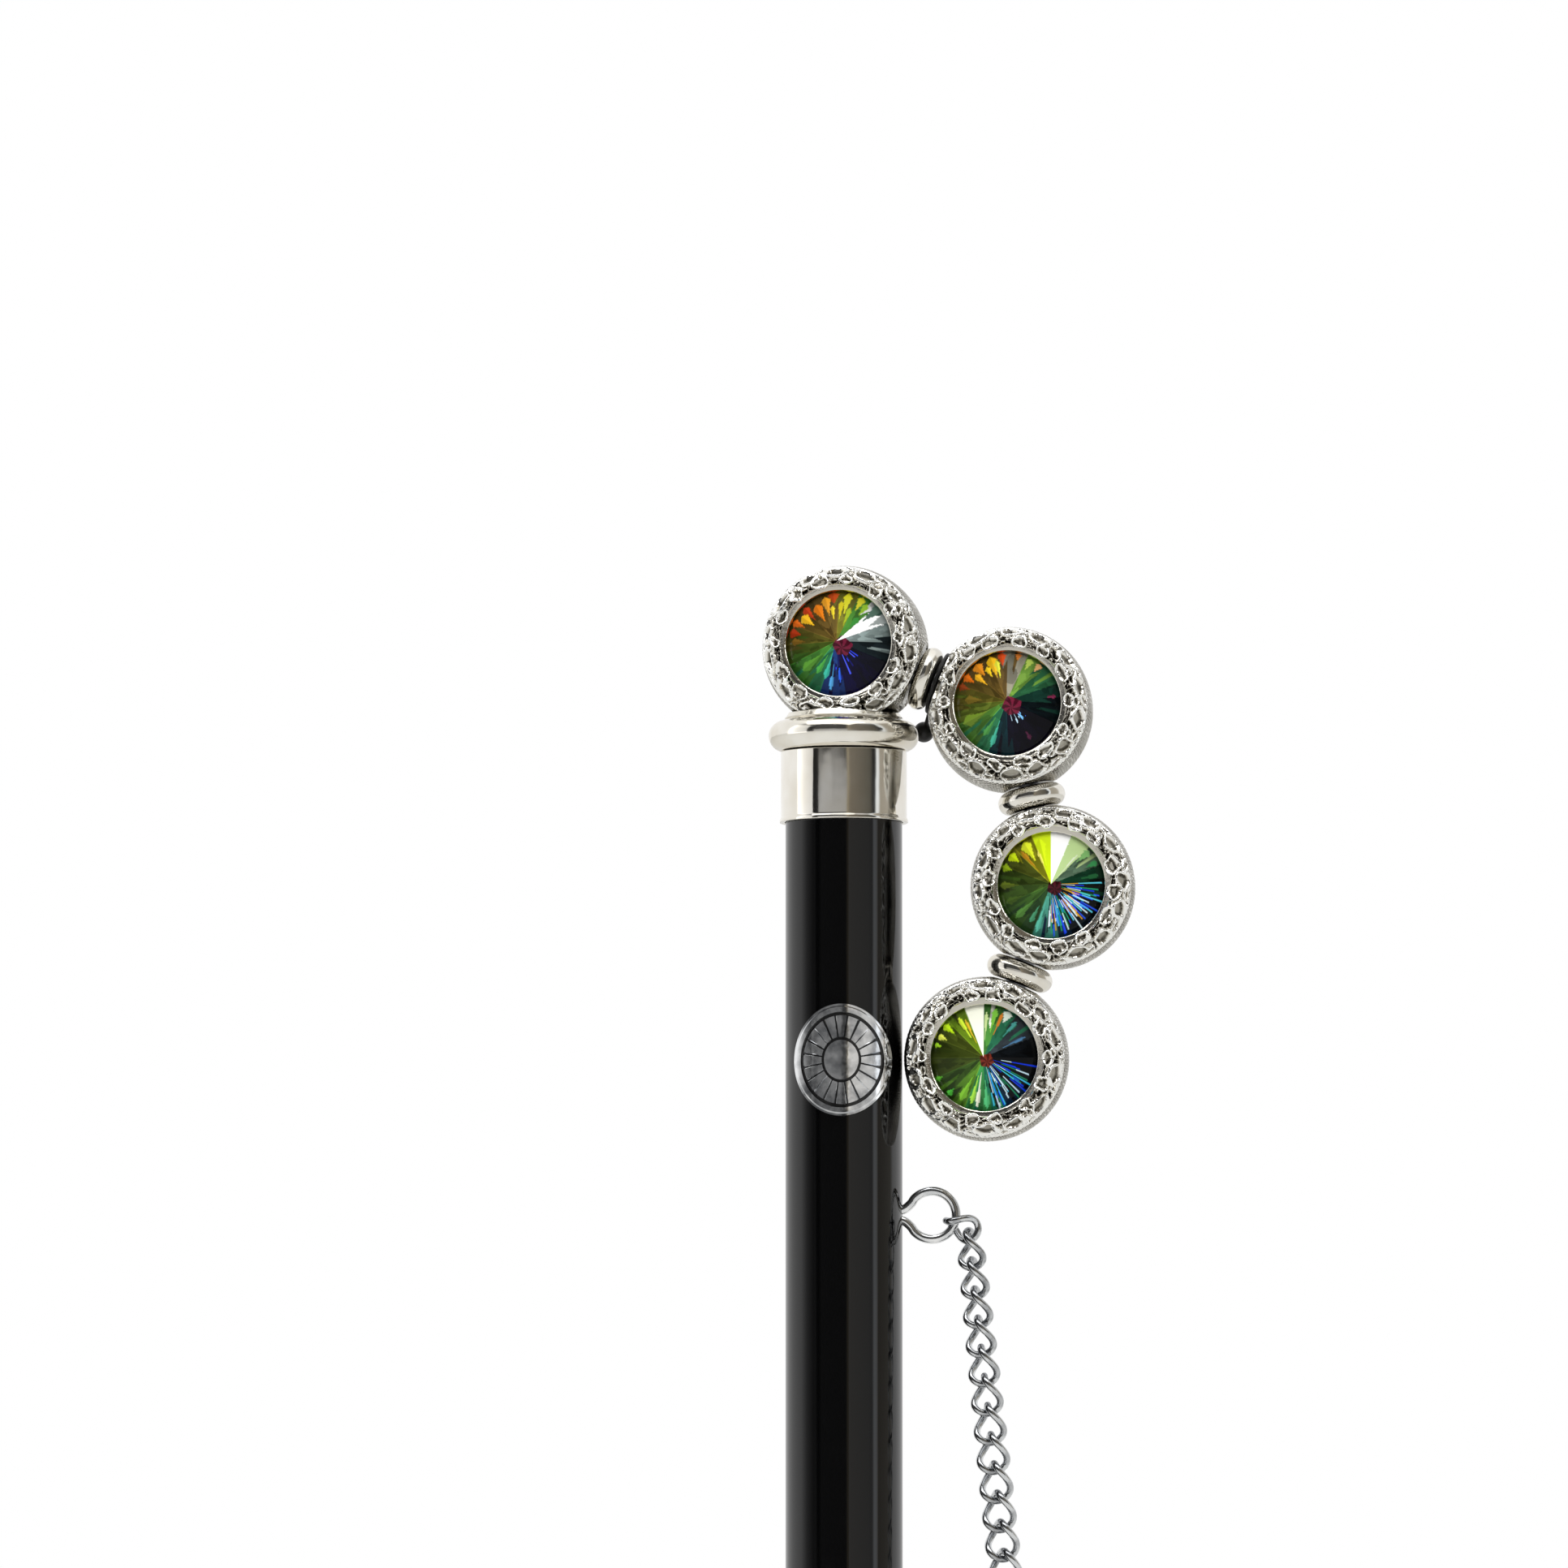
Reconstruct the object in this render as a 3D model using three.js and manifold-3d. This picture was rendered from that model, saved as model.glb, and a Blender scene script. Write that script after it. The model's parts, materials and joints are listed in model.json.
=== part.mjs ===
// Decorative hair stick: a black lacquered stick with a silver ferrule, a crook of four crystal
// beads with spacer rings between them, an inlaid badge plate and a fine chain on a screw eye.
// Millimetres. +Z runs up the stick, the beads face -Y, and the origin is the point of the
// stick's axis where the hair holds it.

import * as THREE from 'three';
import { mergeVertices } from 'three/addons/utils/BufferGeometryUtils.js';
import Module from 'manifold-3d';

const wasm = await Module();
wasm.setup();

// ---------------------------------------------------------------- driving dimensions

const DEG = Math.PI / 180;
const ROUND_SEGMENTS = 40;
const BEAD_SEGMENTS = 32;

const STICK = {
  radius: 4.5,
  top: 105.2,
  taperTop: 38,
  tipBottom: -50,
  tipRadius: 1.5,
  boreRadius: 1.45,
  boreBottom: 90,
};

const FERRULE = {
  inner: 4.56,
  outer: 4.85,
  bottom: 100.2,
  top: 105.65,
  plate: 0.33,
  lipRadius: 4.95,
  lipHeight: 0.4,
};

const MOULDING = {
  bottom: 105.72,
  top: 109.4,
  ringCentre: 106.9,
  ringBase: 4.6,
  ringReach: 1.2,
  ringHalfHeight: 1.18,
  collarRadius: 4.1,
  collarStep: 0.1,
  beadGap: 0.22,
};

const SCREW = {
  radius: 1.2,
  bottom: 91.5,
  headBottom: 109.2,
  headTop: 110.3,
  headRadius: 1.75,
  overlap: 0.2,
};

// The beads, from the ferrule to the free end of the crook: centre, and how far each is
// turned about Z and then tipped back about X.
const BEADS = [
  { x: 0.13, z: 113.66, turn: -5, tip: -3 },
  { x: 12.87, z: 108.8, turn: 0, tip: -5 },
  { x: 16.12, z: 95.1, turn: 2, tip: 1 },
  { x: 11.0, z: 81.92, turn: 1, tip: 2 },
];

// One bead: a barrel whose outer curve is the superellipse
// r = girth * (1 - |y / depth| ^ power) ^ (1 / power).
const BEAD = {
  girth: 6.35,
  depth: 5.3,
  power: 2.6,
  back: 4.6,
  joint: -2.2,
  wall: 1.1,
  floor: 3.6,
  jointGap: 0.05,
};

// The bezel inside its outer curve: the brow at the front, the throat round the crystal, the
// groove for the crystal's girdle, and the spigot that stands in the shell.
const BEZEL = {
  faceEnd: -3.9,
  spigotRadius: 4.85,
  spigotBack: -1.85,
  bore: [
    [4.75, -4.02],
    [4.25, -3.65],
    [4.06, -3.15],
    [4.06, -2.8],
    [4.22, -2.72],
    [4.22, -2.3],
    [3.75, -2.1],
  ],
};

const CRYSTAL = {
  facets: 16,
  radius: 4.15,
  girdleFront: -2.6,
  girdleBack: -2.4,
  frontPoint: -4.1,
  backPoint: -0.5,
};

const SPACER = {
  rimCentre: 1.75,
  hole: 0.98,
  thickness: 1.76,
  firstThickness: 1.5,
  washerThickness: 0.28,
  washerRadius: 2.45,
  washerSeat: 3.0,
  gap: 0.12,
};

// The washer's lug: the place of its bulb, and the neck that joins it to the rim.
const LUG = {
  x: 5.95,
  y: 3.0,
  z: 107.45,
  radius: 0.8,
  neckRadius: 0.16,
  neckStart: 2.2,
};

const POST = {
  radius: 0.8,
  holeRadius: 1.0,
  holeStart: 4,
  reach: 1.6,
};

const BADGE = {
  z: 81.6,
  x: 0.2,
  halfWidth: 3.75,
  halfHeight: 4.3,
  inner: 4.62,
  outer: 4.98,
  margin: 1,
  cutDepth: 6,
};

const EYE = {
  z: 69.94,
  x: 6.78,
  ringRadius: 1.85,
  wireRadius: 0.36,
  shankRadius: 0.42,
  shankEnd: 1.2,
  holeRadius: 0.8,
  holeEnd: 0.9,
};

const LINK = {
  count: 18,
  wireRadius: 0.275,
  halfWidth: 1.12,
  halfLength: 1.44,
  pitch: 2.25,
  twist: 45,
  firstTurn: -62,
  turnStep: 4,
  lean: 6,
  steps: 18,
  sides: 6,
};

const JOINING_LINK = {
  halfLength: 1.3,
  halfWidth: 0.95,
  slope: 22,
  play: 0.05,
  slack: 0.1,
};

const DROP = {
  loopRadius: 0.72,
  wireRadius: 0.24,
  bodyRadius: 1.35,
  bodyLength: 4.6,
  neckRadius: 0.18,
  play: 0.03,
};

// ---------------------------------------------------------------- materials

function metal(color, roughness) {
  return new THREE.MeshStandardMaterial({ color, roughness, metalness: 1 });
}

const silver = metal(0xe6e2d8, 0.18);
const chrome = metal(0xdcdddf, 0.12);
const steel = metal(0x8d8f93, 0.35);
const lacquer = new THREE.MeshStandardMaterial({ color: 0x060607, roughness: 0.12, metalness: 0 });
const rubber = new THREE.MeshStandardMaterial({ color: 0x101010, roughness: 0.5, metalness: 0 });
const glass = new THREE.MeshStandardMaterial({ color: 0x3c5a2c, roughness: 0.03, metalness: 0.3 });

// ---------------------------------------------------------------- geometry helpers

const root = new THREE.Group();
const Y_AXIS = new THREE.Vector3(0, 1, 0);

function addMesh(name, geometry, material, parent = root) {
  const mesh = new THREE.Mesh(geometry, material);
  mesh.name = name;
  parent.add(mesh);
  return mesh;
}

function signedArea(points) {
  let sum = 0;
  points.forEach((p, i) => {
    const q = points[(i + 1) % points.length];
    sum += p.x * q.y - q.x * p.y;
  });
  return sum / 2;
}

// Turns a profile of [radius, height] pairs about Y. A profile that leaves the axis is closed.
function lathe(pairs, segments = ROUND_SEGMENTS) {
  const points = pairs.map(([r, y]) => new THREE.Vector2(r, y));
  if (signedArea(points) < 0) points.reverse();
  const onAxis = points.filter((p) => p.x === 0).length >= 2;
  if (!onAxis) {
    points.push(points[0].clone());
  } else {
    while (!(points[0].x === 0 && points[points.length - 1].x === 0)) points.push(points.shift());
  }
  return new THREE.LatheGeometry(points, segments);
}

const latheUp = (pairs, segments) => lathe(pairs, segments).rotateX(Math.PI / 2);

// A round bar between two points.
function bar(from, to, radius, segments = 24) {
  const along = new THREE.Vector3().subVectors(to, from);
  const geometry = new THREE.CylinderGeometry(radius, radius, along.length(), segments);
  const turn = new THREE.Quaternion().setFromUnitVectors(Y_AXIS, along.clone().normalize());
  geometry.applyQuaternion(turn);
  const middle = new THREE.Vector3().addVectors(from, to).multiplyScalar(0.5);
  return geometry.translate(middle.x, middle.y, middle.z);
}

function toSolid(source) {
  const bare = source.clone();
  bare.deleteAttribute('normal');
  bare.deleteAttribute('uv');
  const merged = mergeVertices(bare, 1e-4);
  const index = Array.from(merged.index.array);
  const triangles = [];
  for (let i = 0; i < index.length; i += 3) {
    const [a, b, c] = index.slice(i, i + 3);
    if (a !== b && b !== c && c !== a) triangles.push(a, b, c);
  }
  const vertProperties = new Float32Array(merged.attributes.position.array);
  const triVerts = new Uint32Array(triangles);
  return new wasm.Manifold(new wasm.Mesh({ numProp: 3, vertProperties, triVerts }));
}

function toGeometry(solid) {
  const mesh = solid.getMesh();
  const geometry = new THREE.BufferGeometry();
  const corners = new Float32Array(mesh.numVert * 3);
  for (let i = 0; i < mesh.numVert; i += 1) {
    for (let k = 0; k < 3; k += 1) corners[3 * i + k] = mesh.vertProperties[mesh.numProp * i + k];
  }
  geometry.setAttribute('position', new THREE.BufferAttribute(corners, 3));
  geometry.setIndex(new THREE.BufferAttribute(new Uint32Array(mesh.triVerts), 1));
  geometry.computeVertexNormals();
  return geometry;
}

function cut(geometry, cutters) {
  let solid = toSolid(geometry);
  cutters.forEach((cutter) => {
    solid = solid.subtract(toSolid(cutter));
  });
  return toGeometry(solid);
}

const arc = (steps, at) => Array.from({ length: steps + 1 }, (_, i) => at(i / steps));

// ---------------------------------------------------------------- places of the beads

const places = BEADS.map((bead) => {
  const group = new THREE.Group();
  group.position.set(bead.x, 0, bead.z);
  group.rotation.set(bead.tip * DEG, 0, bead.turn * DEG, 'ZXY');
  group.updateMatrixWorld(true);
  root.add(group);
  return group;
});

const centres = places.map((group) => group.position.clone());

// Each joint between two beads: the direction from the first bead to the second, and how far
// from either centre the flat seats lie.
const crookLinks = [0, 1, 2].map((i) => {
  const from = centres[i];
  const to = centres[i + 1];
  const direction = new THREE.Vector3().subVectors(to, from).normalize();
  const hasWasher = i === 0;
  const thickness = hasWasher ? SPACER.firstThickness : SPACER.thickness;
  const stack = thickness + 2 * SPACER.gap + (hasWasher ? SPACER.washerThickness + SPACER.gap : 0);
  const seat = (from.distanceTo(to) - stack) / 2;
  return { from, to, direction, hasWasher, thickness, seat };
});

const along = (start, direction, distance) => start.clone().addScaledVector(direction, distance);

// ---------------------------------------------------------------- stick, ferrule and screw

function stickShaft() {
  const tip = arc(4, (t) => {
    const angle = -90 * DEG * (1 - t);
    return [
      STICK.tipRadius * Math.cos(angle) * (t > 0 ? 1 : 0),
      STICK.tipBottom + STICK.tipRadius * (1 + Math.sin(angle)),
    ];
  });
  const taperBottom = STICK.tipBottom + STICK.tipRadius;
  const taper = arc(8, (t) => [
    STICK.tipRadius + (STICK.radius - STICK.tipRadius) * Math.sin(90 * DEG * t),
    taperBottom + (STICK.taperTop - taperBottom) * t,
  ]).slice(1);
  const profile = [
    ...tip,
    ...taper,
    [STICK.radius, STICK.top],
    [STICK.boreRadius, STICK.top],
    [STICK.boreRadius, STICK.boreBottom],
    [0, STICK.boreBottom],
  ];
  const hole = bar(
    new THREE.Vector3(EYE.holeEnd, 0, EYE.z),
    new THREE.Vector3(STICK.radius + 1, 0, EYE.z),
    EYE.holeRadius,
    12,
  );
  return cut(latheUp(profile), [hole]);
}

function ferruleTube() {
  return latheUp([
    [FERRULE.inner, FERRULE.bottom],
    [FERRULE.lipRadius, FERRULE.bottom],
    [FERRULE.lipRadius, FERRULE.bottom + FERRULE.lipHeight / 2],
    [FERRULE.outer, FERRULE.bottom + FERRULE.lipHeight],
    [FERRULE.outer, FERRULE.top],
    [STICK.boreRadius, FERRULE.top],
    [STICK.boreRadius, FERRULE.top - FERRULE.plate],
    [FERRULE.inner, FERRULE.top - FERRULE.plate],
  ]);
}

// The outer curve of a bead, grown by `more`, from one height of its own axis to another.
function beadCurve(from, to, steps, more = 0) {
  return arc(steps, (t) => {
    const y = from + (to - from) * t;
    const fill = 1 - Math.abs(y / BEAD.depth) ** BEAD.power;
    return [BEAD.girth * fill ** (1 / BEAD.power) + more, y];
  });
}

function ferruleMoulding() {
  const ring = arc(9, (t) => {
    const angle = 180 * DEG * (t - 0.5);
    return [
      MOULDING.ringBase + MOULDING.ringReach * Math.cos(angle),
      MOULDING.ringCentre + MOULDING.ringHalfHeight * Math.sin(angle),
    ];
  });
  const ringTop = MOULDING.ringCentre + MOULDING.ringHalfHeight;
  const collarBottom = ringTop + MOULDING.collarStep;
  const collar = arc(3, (t) => [
    MOULDING.collarRadius + (MOULDING.ringBase - MOULDING.collarRadius) * (1 - t) ** 2,
    collarBottom + (MOULDING.top - collarBottom) * t,
  ]);
  const body = latheUp([
    [STICK.boreRadius, MOULDING.bottom],
    ...ring,
    ...collar,
    [STICK.boreRadius, MOULDING.top],
  ]);
  const reach = BEAD.back + MOULDING.beadGap;
  const bead = lathe([
    [0, -reach],
    ...beadCurve(-reach, reach, 12, MOULDING.beadGap),
    [0, reach],
  ], BEAD_SEGMENTS);
  return cut(body, [bead.applyMatrix4(places[0].matrixWorld)]);
}

// A fixing screw with a hexagonal head inside the first bead.
function handleScrew() {
  const shank = bar(
    new THREE.Vector3(0, 0, SCREW.bottom),
    new THREE.Vector3(0, 0, SCREW.headBottom + SCREW.overlap),
    SCREW.radius,
  );
  const head = bar(
    new THREE.Vector3(0, 0, SCREW.headBottom),
    new THREE.Vector3(0, 0, SCREW.headTop),
    SCREW.headRadius,
    6,
  );
  return toGeometry(toSolid(shank).add(toSolid(head)));
}

addMesh('stick_shaft', stickShaft(), lacquer);
addMesh('ferrule_tube', ferruleTube(), silver);
addMesh('ferrule_moulding', ferruleMoulding(), silver);
addMesh('handle_screw', handleScrew(), steel);

// ---------------------------------------------------------------- beads

// The cup of a bead, open at the front, with its flat back at y = BEAD.back.
function shellBlank() {
  const inner = beadCurve(BEAD.floor, BEAD.joint, 4, -BEAD.wall);
  return lathe([
    [0, BEAD.back],
    ...beadCurve(BEAD.back, BEAD.joint, 8),
    ...inner.reverse(),
    [0, BEAD.floor],
  ], BEAD_SEGMENTS);
}

// The ring that closes the front of the bead and holds the crystal in its lip.
function bezelBlank() {
  const ledgeRadius = BEZEL.bore[BEZEL.bore.length - 1][0];
  const jointFace = BEAD.joint - BEAD.jointGap;
  return lathe([
    ...beadCurve(jointFace, BEZEL.faceEnd, 3),
    ...BEZEL.bore,
    [ledgeRadius, BEZEL.spigotBack],
    [BEZEL.spigotRadius, BEZEL.spigotBack],
    [BEZEL.spigotRadius, jointFace],
  ], BEAD_SEGMENTS);
}

function crystal() {
  return lathe([
    [0, CRYSTAL.frontPoint],
    [CRYSTAL.radius, CRYSTAL.girdleFront],
    [CRYSTAL.radius, CRYSTAL.girdleBack],
    [0, CRYSTAL.backPoint],
  ], CRYSTAL.facets);
}

// What is cut from a bead for the spacer and post on one side of it, in the bead's own frame.
function seatCutters(beadIndex) {
  const cutters = [];
  crookLinks.forEach((link, i) => {
    const isFirst = i === beadIndex;
    if (!isFirst && i !== beadIndex - 1) return;
    const direction = isFirst ? link.direction : link.direction.clone().negate();
    const centre = isFirst ? link.from : link.to;
    const facesWasher = link.hasWasher && !isFirst;
    const rim = facesWasher ? SPACER.washerSeat : SPACER.rimCentre + link.thickness / 2;
    const seat = along(centre, direction, link.seat);
    const holeStart = along(centre, direction, POST.holeStart);
    const outside = along(centre, direction, BEAD.girth + 1);
    cutters.push(bar(seat, outside, rim + SPACER.gap, 24));
    cutters.push(bar(holeStart, outside, POST.holeRadius, 12));
  });
  return cutters;
}

const screwCutter = () => bar(
  new THREE.Vector3(0, 0, MOULDING.bottom),
  new THREE.Vector3(0, 0, SCREW.headBottom + SCREW.overlap),
  STICK.boreRadius,
);

places.forEach((group, i) => {
  const name = `bead_${i + 1}`;
  const toBead = group.matrixWorld.clone().invert();
  const cutters = seatCutters(i);
  const shellCutters = i === 0 ? [...cutters, screwCutter()] : cutters;
  const local = (list) => list.map((cutter) => cutter.clone().applyMatrix4(toBead));
  addMesh(`${name}_shell`, cut(shellBlank(), local(shellCutters)), silver, group);
  addMesh(`${name}_bezel`, cut(bezelBlank(), local(cutters)), silver, group);
  addMesh(`${name}_crystal`, crystal(), glass, group);
});

// ---------------------------------------------------------------- spacers, washer and posts

// A disc with a rounded rim and a hole, about Y.
function rimmedDisc(hole, rimCentre, thickness, segments) {
  const half = thickness / 2;
  const rim = arc(7, (t) => {
    const angle = 180 * DEG * (t - 0.5);
    return [rimCentre + half * Math.cos(angle), half * Math.sin(angle)];
  });
  return lathe([[hole, -half], ...rim, [hole, half]], segments);
}

// A rubber washer with a round lug on a thin neck, in its own frame.
function neckWasher(washerMatrix) {
  const half = SPACER.washerThickness / 2;
  const disc = rimmedDisc(SPACER.hole, SPACER.washerRadius - half, SPACER.washerThickness, 28);
  const bulb = new THREE.Vector3(LUG.x, LUG.y, LUG.z).applyMatrix4(washerMatrix.clone().invert());
  const neckStart = bulb.clone().setY(0).setLength(LUG.neckStart);
  const neck = bar(neckStart, bulb, LUG.neckRadius, 12);
  const ball = new THREE.SphereGeometry(LUG.radius, 20, 14).translate(bulb.x, bulb.y, bulb.z);
  return toGeometry(toSolid(disc).add(toSolid(neck)).add(toSolid(ball)));
}

crookLinks.forEach((link, i) => {
  const turn = new THREE.Quaternion().setFromUnitVectors(Y_AXIS, link.direction);
  const place = (mesh, distance) => {
    mesh.quaternion.copy(turn);
    mesh.position.copy(along(link.from, link.direction, distance));
  };
  const disc = rimmedDisc(SPACER.hole, SPACER.rimCentre, link.thickness, 24);
  const discAt = link.seat + SPACER.gap + link.thickness / 2;
  place(addMesh(`rondelle_${i + 1}`, disc, silver), discAt);
  if (link.hasWasher) {
    const washerAt = discAt + (link.thickness + SPACER.washerThickness) / 2 + SPACER.gap;
    const middle = along(link.from, link.direction, washerAt);
    const washerMatrix = new THREE.Matrix4().compose(middle, turn, new THREE.Vector3(1, 1, 1));
    place(addMesh('neck_washer', neckWasher(washerMatrix), rubber), washerAt);
  }
  const start = along(link.from, link.direction, link.seat - POST.reach);
  const end = along(link.to, link.direction, POST.reach - link.seat);
  addMesh(`link_post_${i + 1}`, bar(start, end, POST.radius, 16), steel);
});

// ---------------------------------------------------------------- badge plate

// An oval plate bent round the front of the stick.
function badgePlate() {
  const sleeveHalf = BADGE.halfHeight + BADGE.margin;
  const sleeve = latheUp([
    [BADGE.inner, BADGE.z - sleeveHalf],
    [BADGE.outer, BADGE.z - sleeveHalf],
    [BADGE.outer, BADGE.z + sleeveHalf],
    [BADGE.inner, BADGE.z + sleeveHalf],
  ], 80);
  const oval = new THREE.Shape();
  oval.absellipse(0, 0, BADGE.halfWidth, BADGE.halfHeight, 0, 2 * Math.PI);
  const options = { depth: BADGE.cutDepth, bevelEnabled: false, curveSegments: 16 };
  const prism = new THREE.ExtrudeGeometry(oval, options);
  prism.rotateX(Math.PI / 2);
  prism.translate(BADGE.x, -BADGE.margin, BADGE.z);
  return toGeometry(toSolid(sleeve).intersect(toSolid(prism)));
}

addMesh('badge_plate', badgePlate(), chrome);

// ---------------------------------------------------------------- screw eye

function screwEye() {
  const circle = arc(8, (t) => [
    EYE.ringRadius + EYE.wireRadius * Math.cos(2 * Math.PI * t),
    EYE.wireRadius * Math.sin(2 * Math.PI * t),
  ]).slice(0, -1);
  const ring = lathe(circle, 28).translate(EYE.x, 0, EYE.z);
  const shank = bar(
    new THREE.Vector3(EYE.shankEnd, 0, EYE.z),
    new THREE.Vector3(EYE.x - EYE.ringRadius, 0, EYE.z),
    EYE.shankRadius,
    12,
  );
  return toGeometry(toSolid(ring).add(toSolid(shank)));
}

addMesh('chain_eye', screwEye(), chrome);

// ---------------------------------------------------------------- chain

// The middle line of a curb link: a stadium about Z, twisted so that its two ends lie at
// right angles and each link hooks the next the same way.
class CurbLine extends THREE.Curve {
  constructor(halfLength, halfWidth, twist) {
    super();
    this.straight = halfLength - halfWidth;
    this.halfLength = halfLength;
    this.halfWidth = halfWidth;
    this.twist = twist;
  }

  getPoint(t) {
    const angle = 2 * Math.PI * t;
    const across = this.halfWidth * Math.sin(angle);
    const up = this.halfWidth * Math.cos(angle) + this.straight * Math.tanh(4 * Math.cos(angle));
    const reach = this.halfWidth + this.straight * Math.tanh(4);
    const turn = this.twist * Math.sin((Math.PI / 2) * (up / reach));
    const height = (up * this.halfLength) / reach;
    return new THREE.Vector3(across * Math.cos(turn), across * Math.sin(turn), height);
  }
}

function curbLink(halfLength, halfWidth) {
  const line = new CurbLine(halfLength, halfWidth, -LINK.twist * DEG);
  return new THREE.TubeGeometry(line, LINK.steps, LINK.wireRadius, LINK.sides, true);
}

// The joining link leaves the eye outwards and down, along a line through the eye's centre.
const eyeCentre = new THREE.Vector3(EYE.x, 0, EYE.z);
const slope = JOINING_LINK.slope * DEG;
const outwards = new THREE.Vector3(Math.cos(slope), 0, -Math.sin(slope));
const hookStep = 2 * LINK.wireRadius + JOINING_LINK.play;
const innerEnd = EYE.ringRadius - EYE.wireRadius - LINK.wireRadius - JOINING_LINK.play;
const joiningMiddle = innerEnd + JOINING_LINK.halfLength;
const joiningShape = curbLink(JOINING_LINK.halfLength, JOINING_LINK.halfWidth);
const joiningLink = addMesh('joining_link', joiningShape, chrome);
joiningLink.position.copy(along(eyeCentre, outwards, joiningMiddle));
joiningLink.rotation.set(0, -(90 - JOINING_LINK.slope) * DEG, -LINK.twist * DEG);

// The chain hangs from the joining link's outer end, a little slack in it.
const chainTop = along(eyeCentre, outwards, joiningMiddle + JOINING_LINK.halfLength - hookStep);
chainTop.x -= JOINING_LINK.slack;
chainTop.y += JOINING_LINK.slack;
const down = new THREE.Vector3(Math.sin(LINK.lean * DEG), 0, -Math.cos(LINK.lean * DEG));
for (let i = 0; i < LINK.count; i += 1) {
  const name = `chain_link_${String(i + 1).padStart(2, '0')}`;
  const link = addMesh(name, curbLink(LINK.halfLength, LINK.halfWidth), chrome);
  link.position.copy(along(chainTop, down, LINK.halfLength + LINK.pitch * i));
  link.rotation.set(0, -LINK.lean * DEG, (LINK.firstTurn + LINK.turnStep * i) * DEG);
}

// The small drop that ends the chain: a loop and a pear-shaped weight.
function chainDrop() {
  const circle = arc(6, (t) => [
    DROP.loopRadius + DROP.wireRadius * Math.cos(2 * Math.PI * t),
    DROP.wireRadius * Math.sin(2 * Math.PI * t),
  ]).slice(0, -1);
  const loop = lathe(circle, 16);
  const bottom = -DROP.loopRadius - DROP.bodyLength;
  const pear = latheUp([
    [0, bottom],
    ...arc(12, (t) => [
      DROP.bodyRadius * Math.sin(Math.PI * t ** 0.8) ** 0.9 * (1 - 0.35 * t) + DROP.neckRadius * t,
      bottom + DROP.bodyLength * t,
    ]).slice(1),
    [0, bottom + DROP.bodyLength],
  ], 24);
  return toGeometry(toSolid(loop).add(toSolid(pear)));
}

const drop = addMesh('chain_drop', chainDrop(), chrome);
const lastHook = LINK.halfLength + LINK.pitch * (LINK.count - 1) + LINK.halfLength;
const lastTurn = LINK.firstTurn + LINK.turnStep * (LINK.count - 1);
drop.position.copy(along(chainTop, down, lastHook - hookStep + DROP.play + DROP.loopRadius));
drop.rotation.set(0, -LINK.lean * DEG, (lastTurn - LINK.twist) * DEG);

export default root;
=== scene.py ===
import json
import math
from types import SimpleNamespace as Sizes

import bmesh
import bpy
import numpy as np
from mathutils import Matrix, Vector

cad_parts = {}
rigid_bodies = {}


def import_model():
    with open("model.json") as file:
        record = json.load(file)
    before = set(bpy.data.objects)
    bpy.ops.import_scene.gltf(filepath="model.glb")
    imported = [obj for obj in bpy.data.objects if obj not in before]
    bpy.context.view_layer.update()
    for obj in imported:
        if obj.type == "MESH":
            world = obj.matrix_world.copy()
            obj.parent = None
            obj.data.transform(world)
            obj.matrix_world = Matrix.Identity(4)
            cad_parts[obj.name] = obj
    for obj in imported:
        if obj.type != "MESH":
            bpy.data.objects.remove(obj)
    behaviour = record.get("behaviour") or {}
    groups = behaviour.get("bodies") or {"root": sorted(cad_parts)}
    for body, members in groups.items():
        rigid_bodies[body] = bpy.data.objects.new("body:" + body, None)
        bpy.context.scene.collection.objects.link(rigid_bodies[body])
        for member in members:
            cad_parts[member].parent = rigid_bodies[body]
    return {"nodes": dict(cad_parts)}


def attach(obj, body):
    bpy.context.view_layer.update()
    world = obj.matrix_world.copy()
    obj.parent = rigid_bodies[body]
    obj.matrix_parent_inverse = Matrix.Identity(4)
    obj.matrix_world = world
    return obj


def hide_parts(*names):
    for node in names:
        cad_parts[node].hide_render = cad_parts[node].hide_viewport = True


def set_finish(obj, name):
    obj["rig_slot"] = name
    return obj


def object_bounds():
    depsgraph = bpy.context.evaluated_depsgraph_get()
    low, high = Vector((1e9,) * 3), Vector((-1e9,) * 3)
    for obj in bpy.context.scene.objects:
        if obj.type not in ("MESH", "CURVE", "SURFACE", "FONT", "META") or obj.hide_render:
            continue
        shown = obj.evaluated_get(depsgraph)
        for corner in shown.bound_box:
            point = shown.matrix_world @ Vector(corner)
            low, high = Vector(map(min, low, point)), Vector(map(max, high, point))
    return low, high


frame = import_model()
cad_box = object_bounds()

MM = 0.001
FULL_TURN = 2 * math.pi
scene = bpy.context.scene

# ------------------------------------------------------------------ sizes, as the parts have them

STICK = Sizes(radius=4.5, top=105.2, taper_top=38, bottom=-50, tip=1.5, bore=1.45, bore_bottom=90)
TUBE = Sizes(inner=4.56, outer=4.85, bottom=100.2, top=105.65, plate=0.33, lip=4.95, lip_height=0.4)
MOULDING = Sizes(bottom=105.72, top=109.4, ring_z=106.9, base=4.6, reach=1.2, half=1.18, collar=4.1)
MOULDING_GAP = 0.22
# Each bead: x, z, and how far it is turned about Z and then tipped about X.
BEADS = [(0.13, 113.66, -5, -3), (12.87, 108.8, 0, -5), (16.12, 95.1, 2, 1), (11.0, 81.92, 1, 2)]
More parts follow.
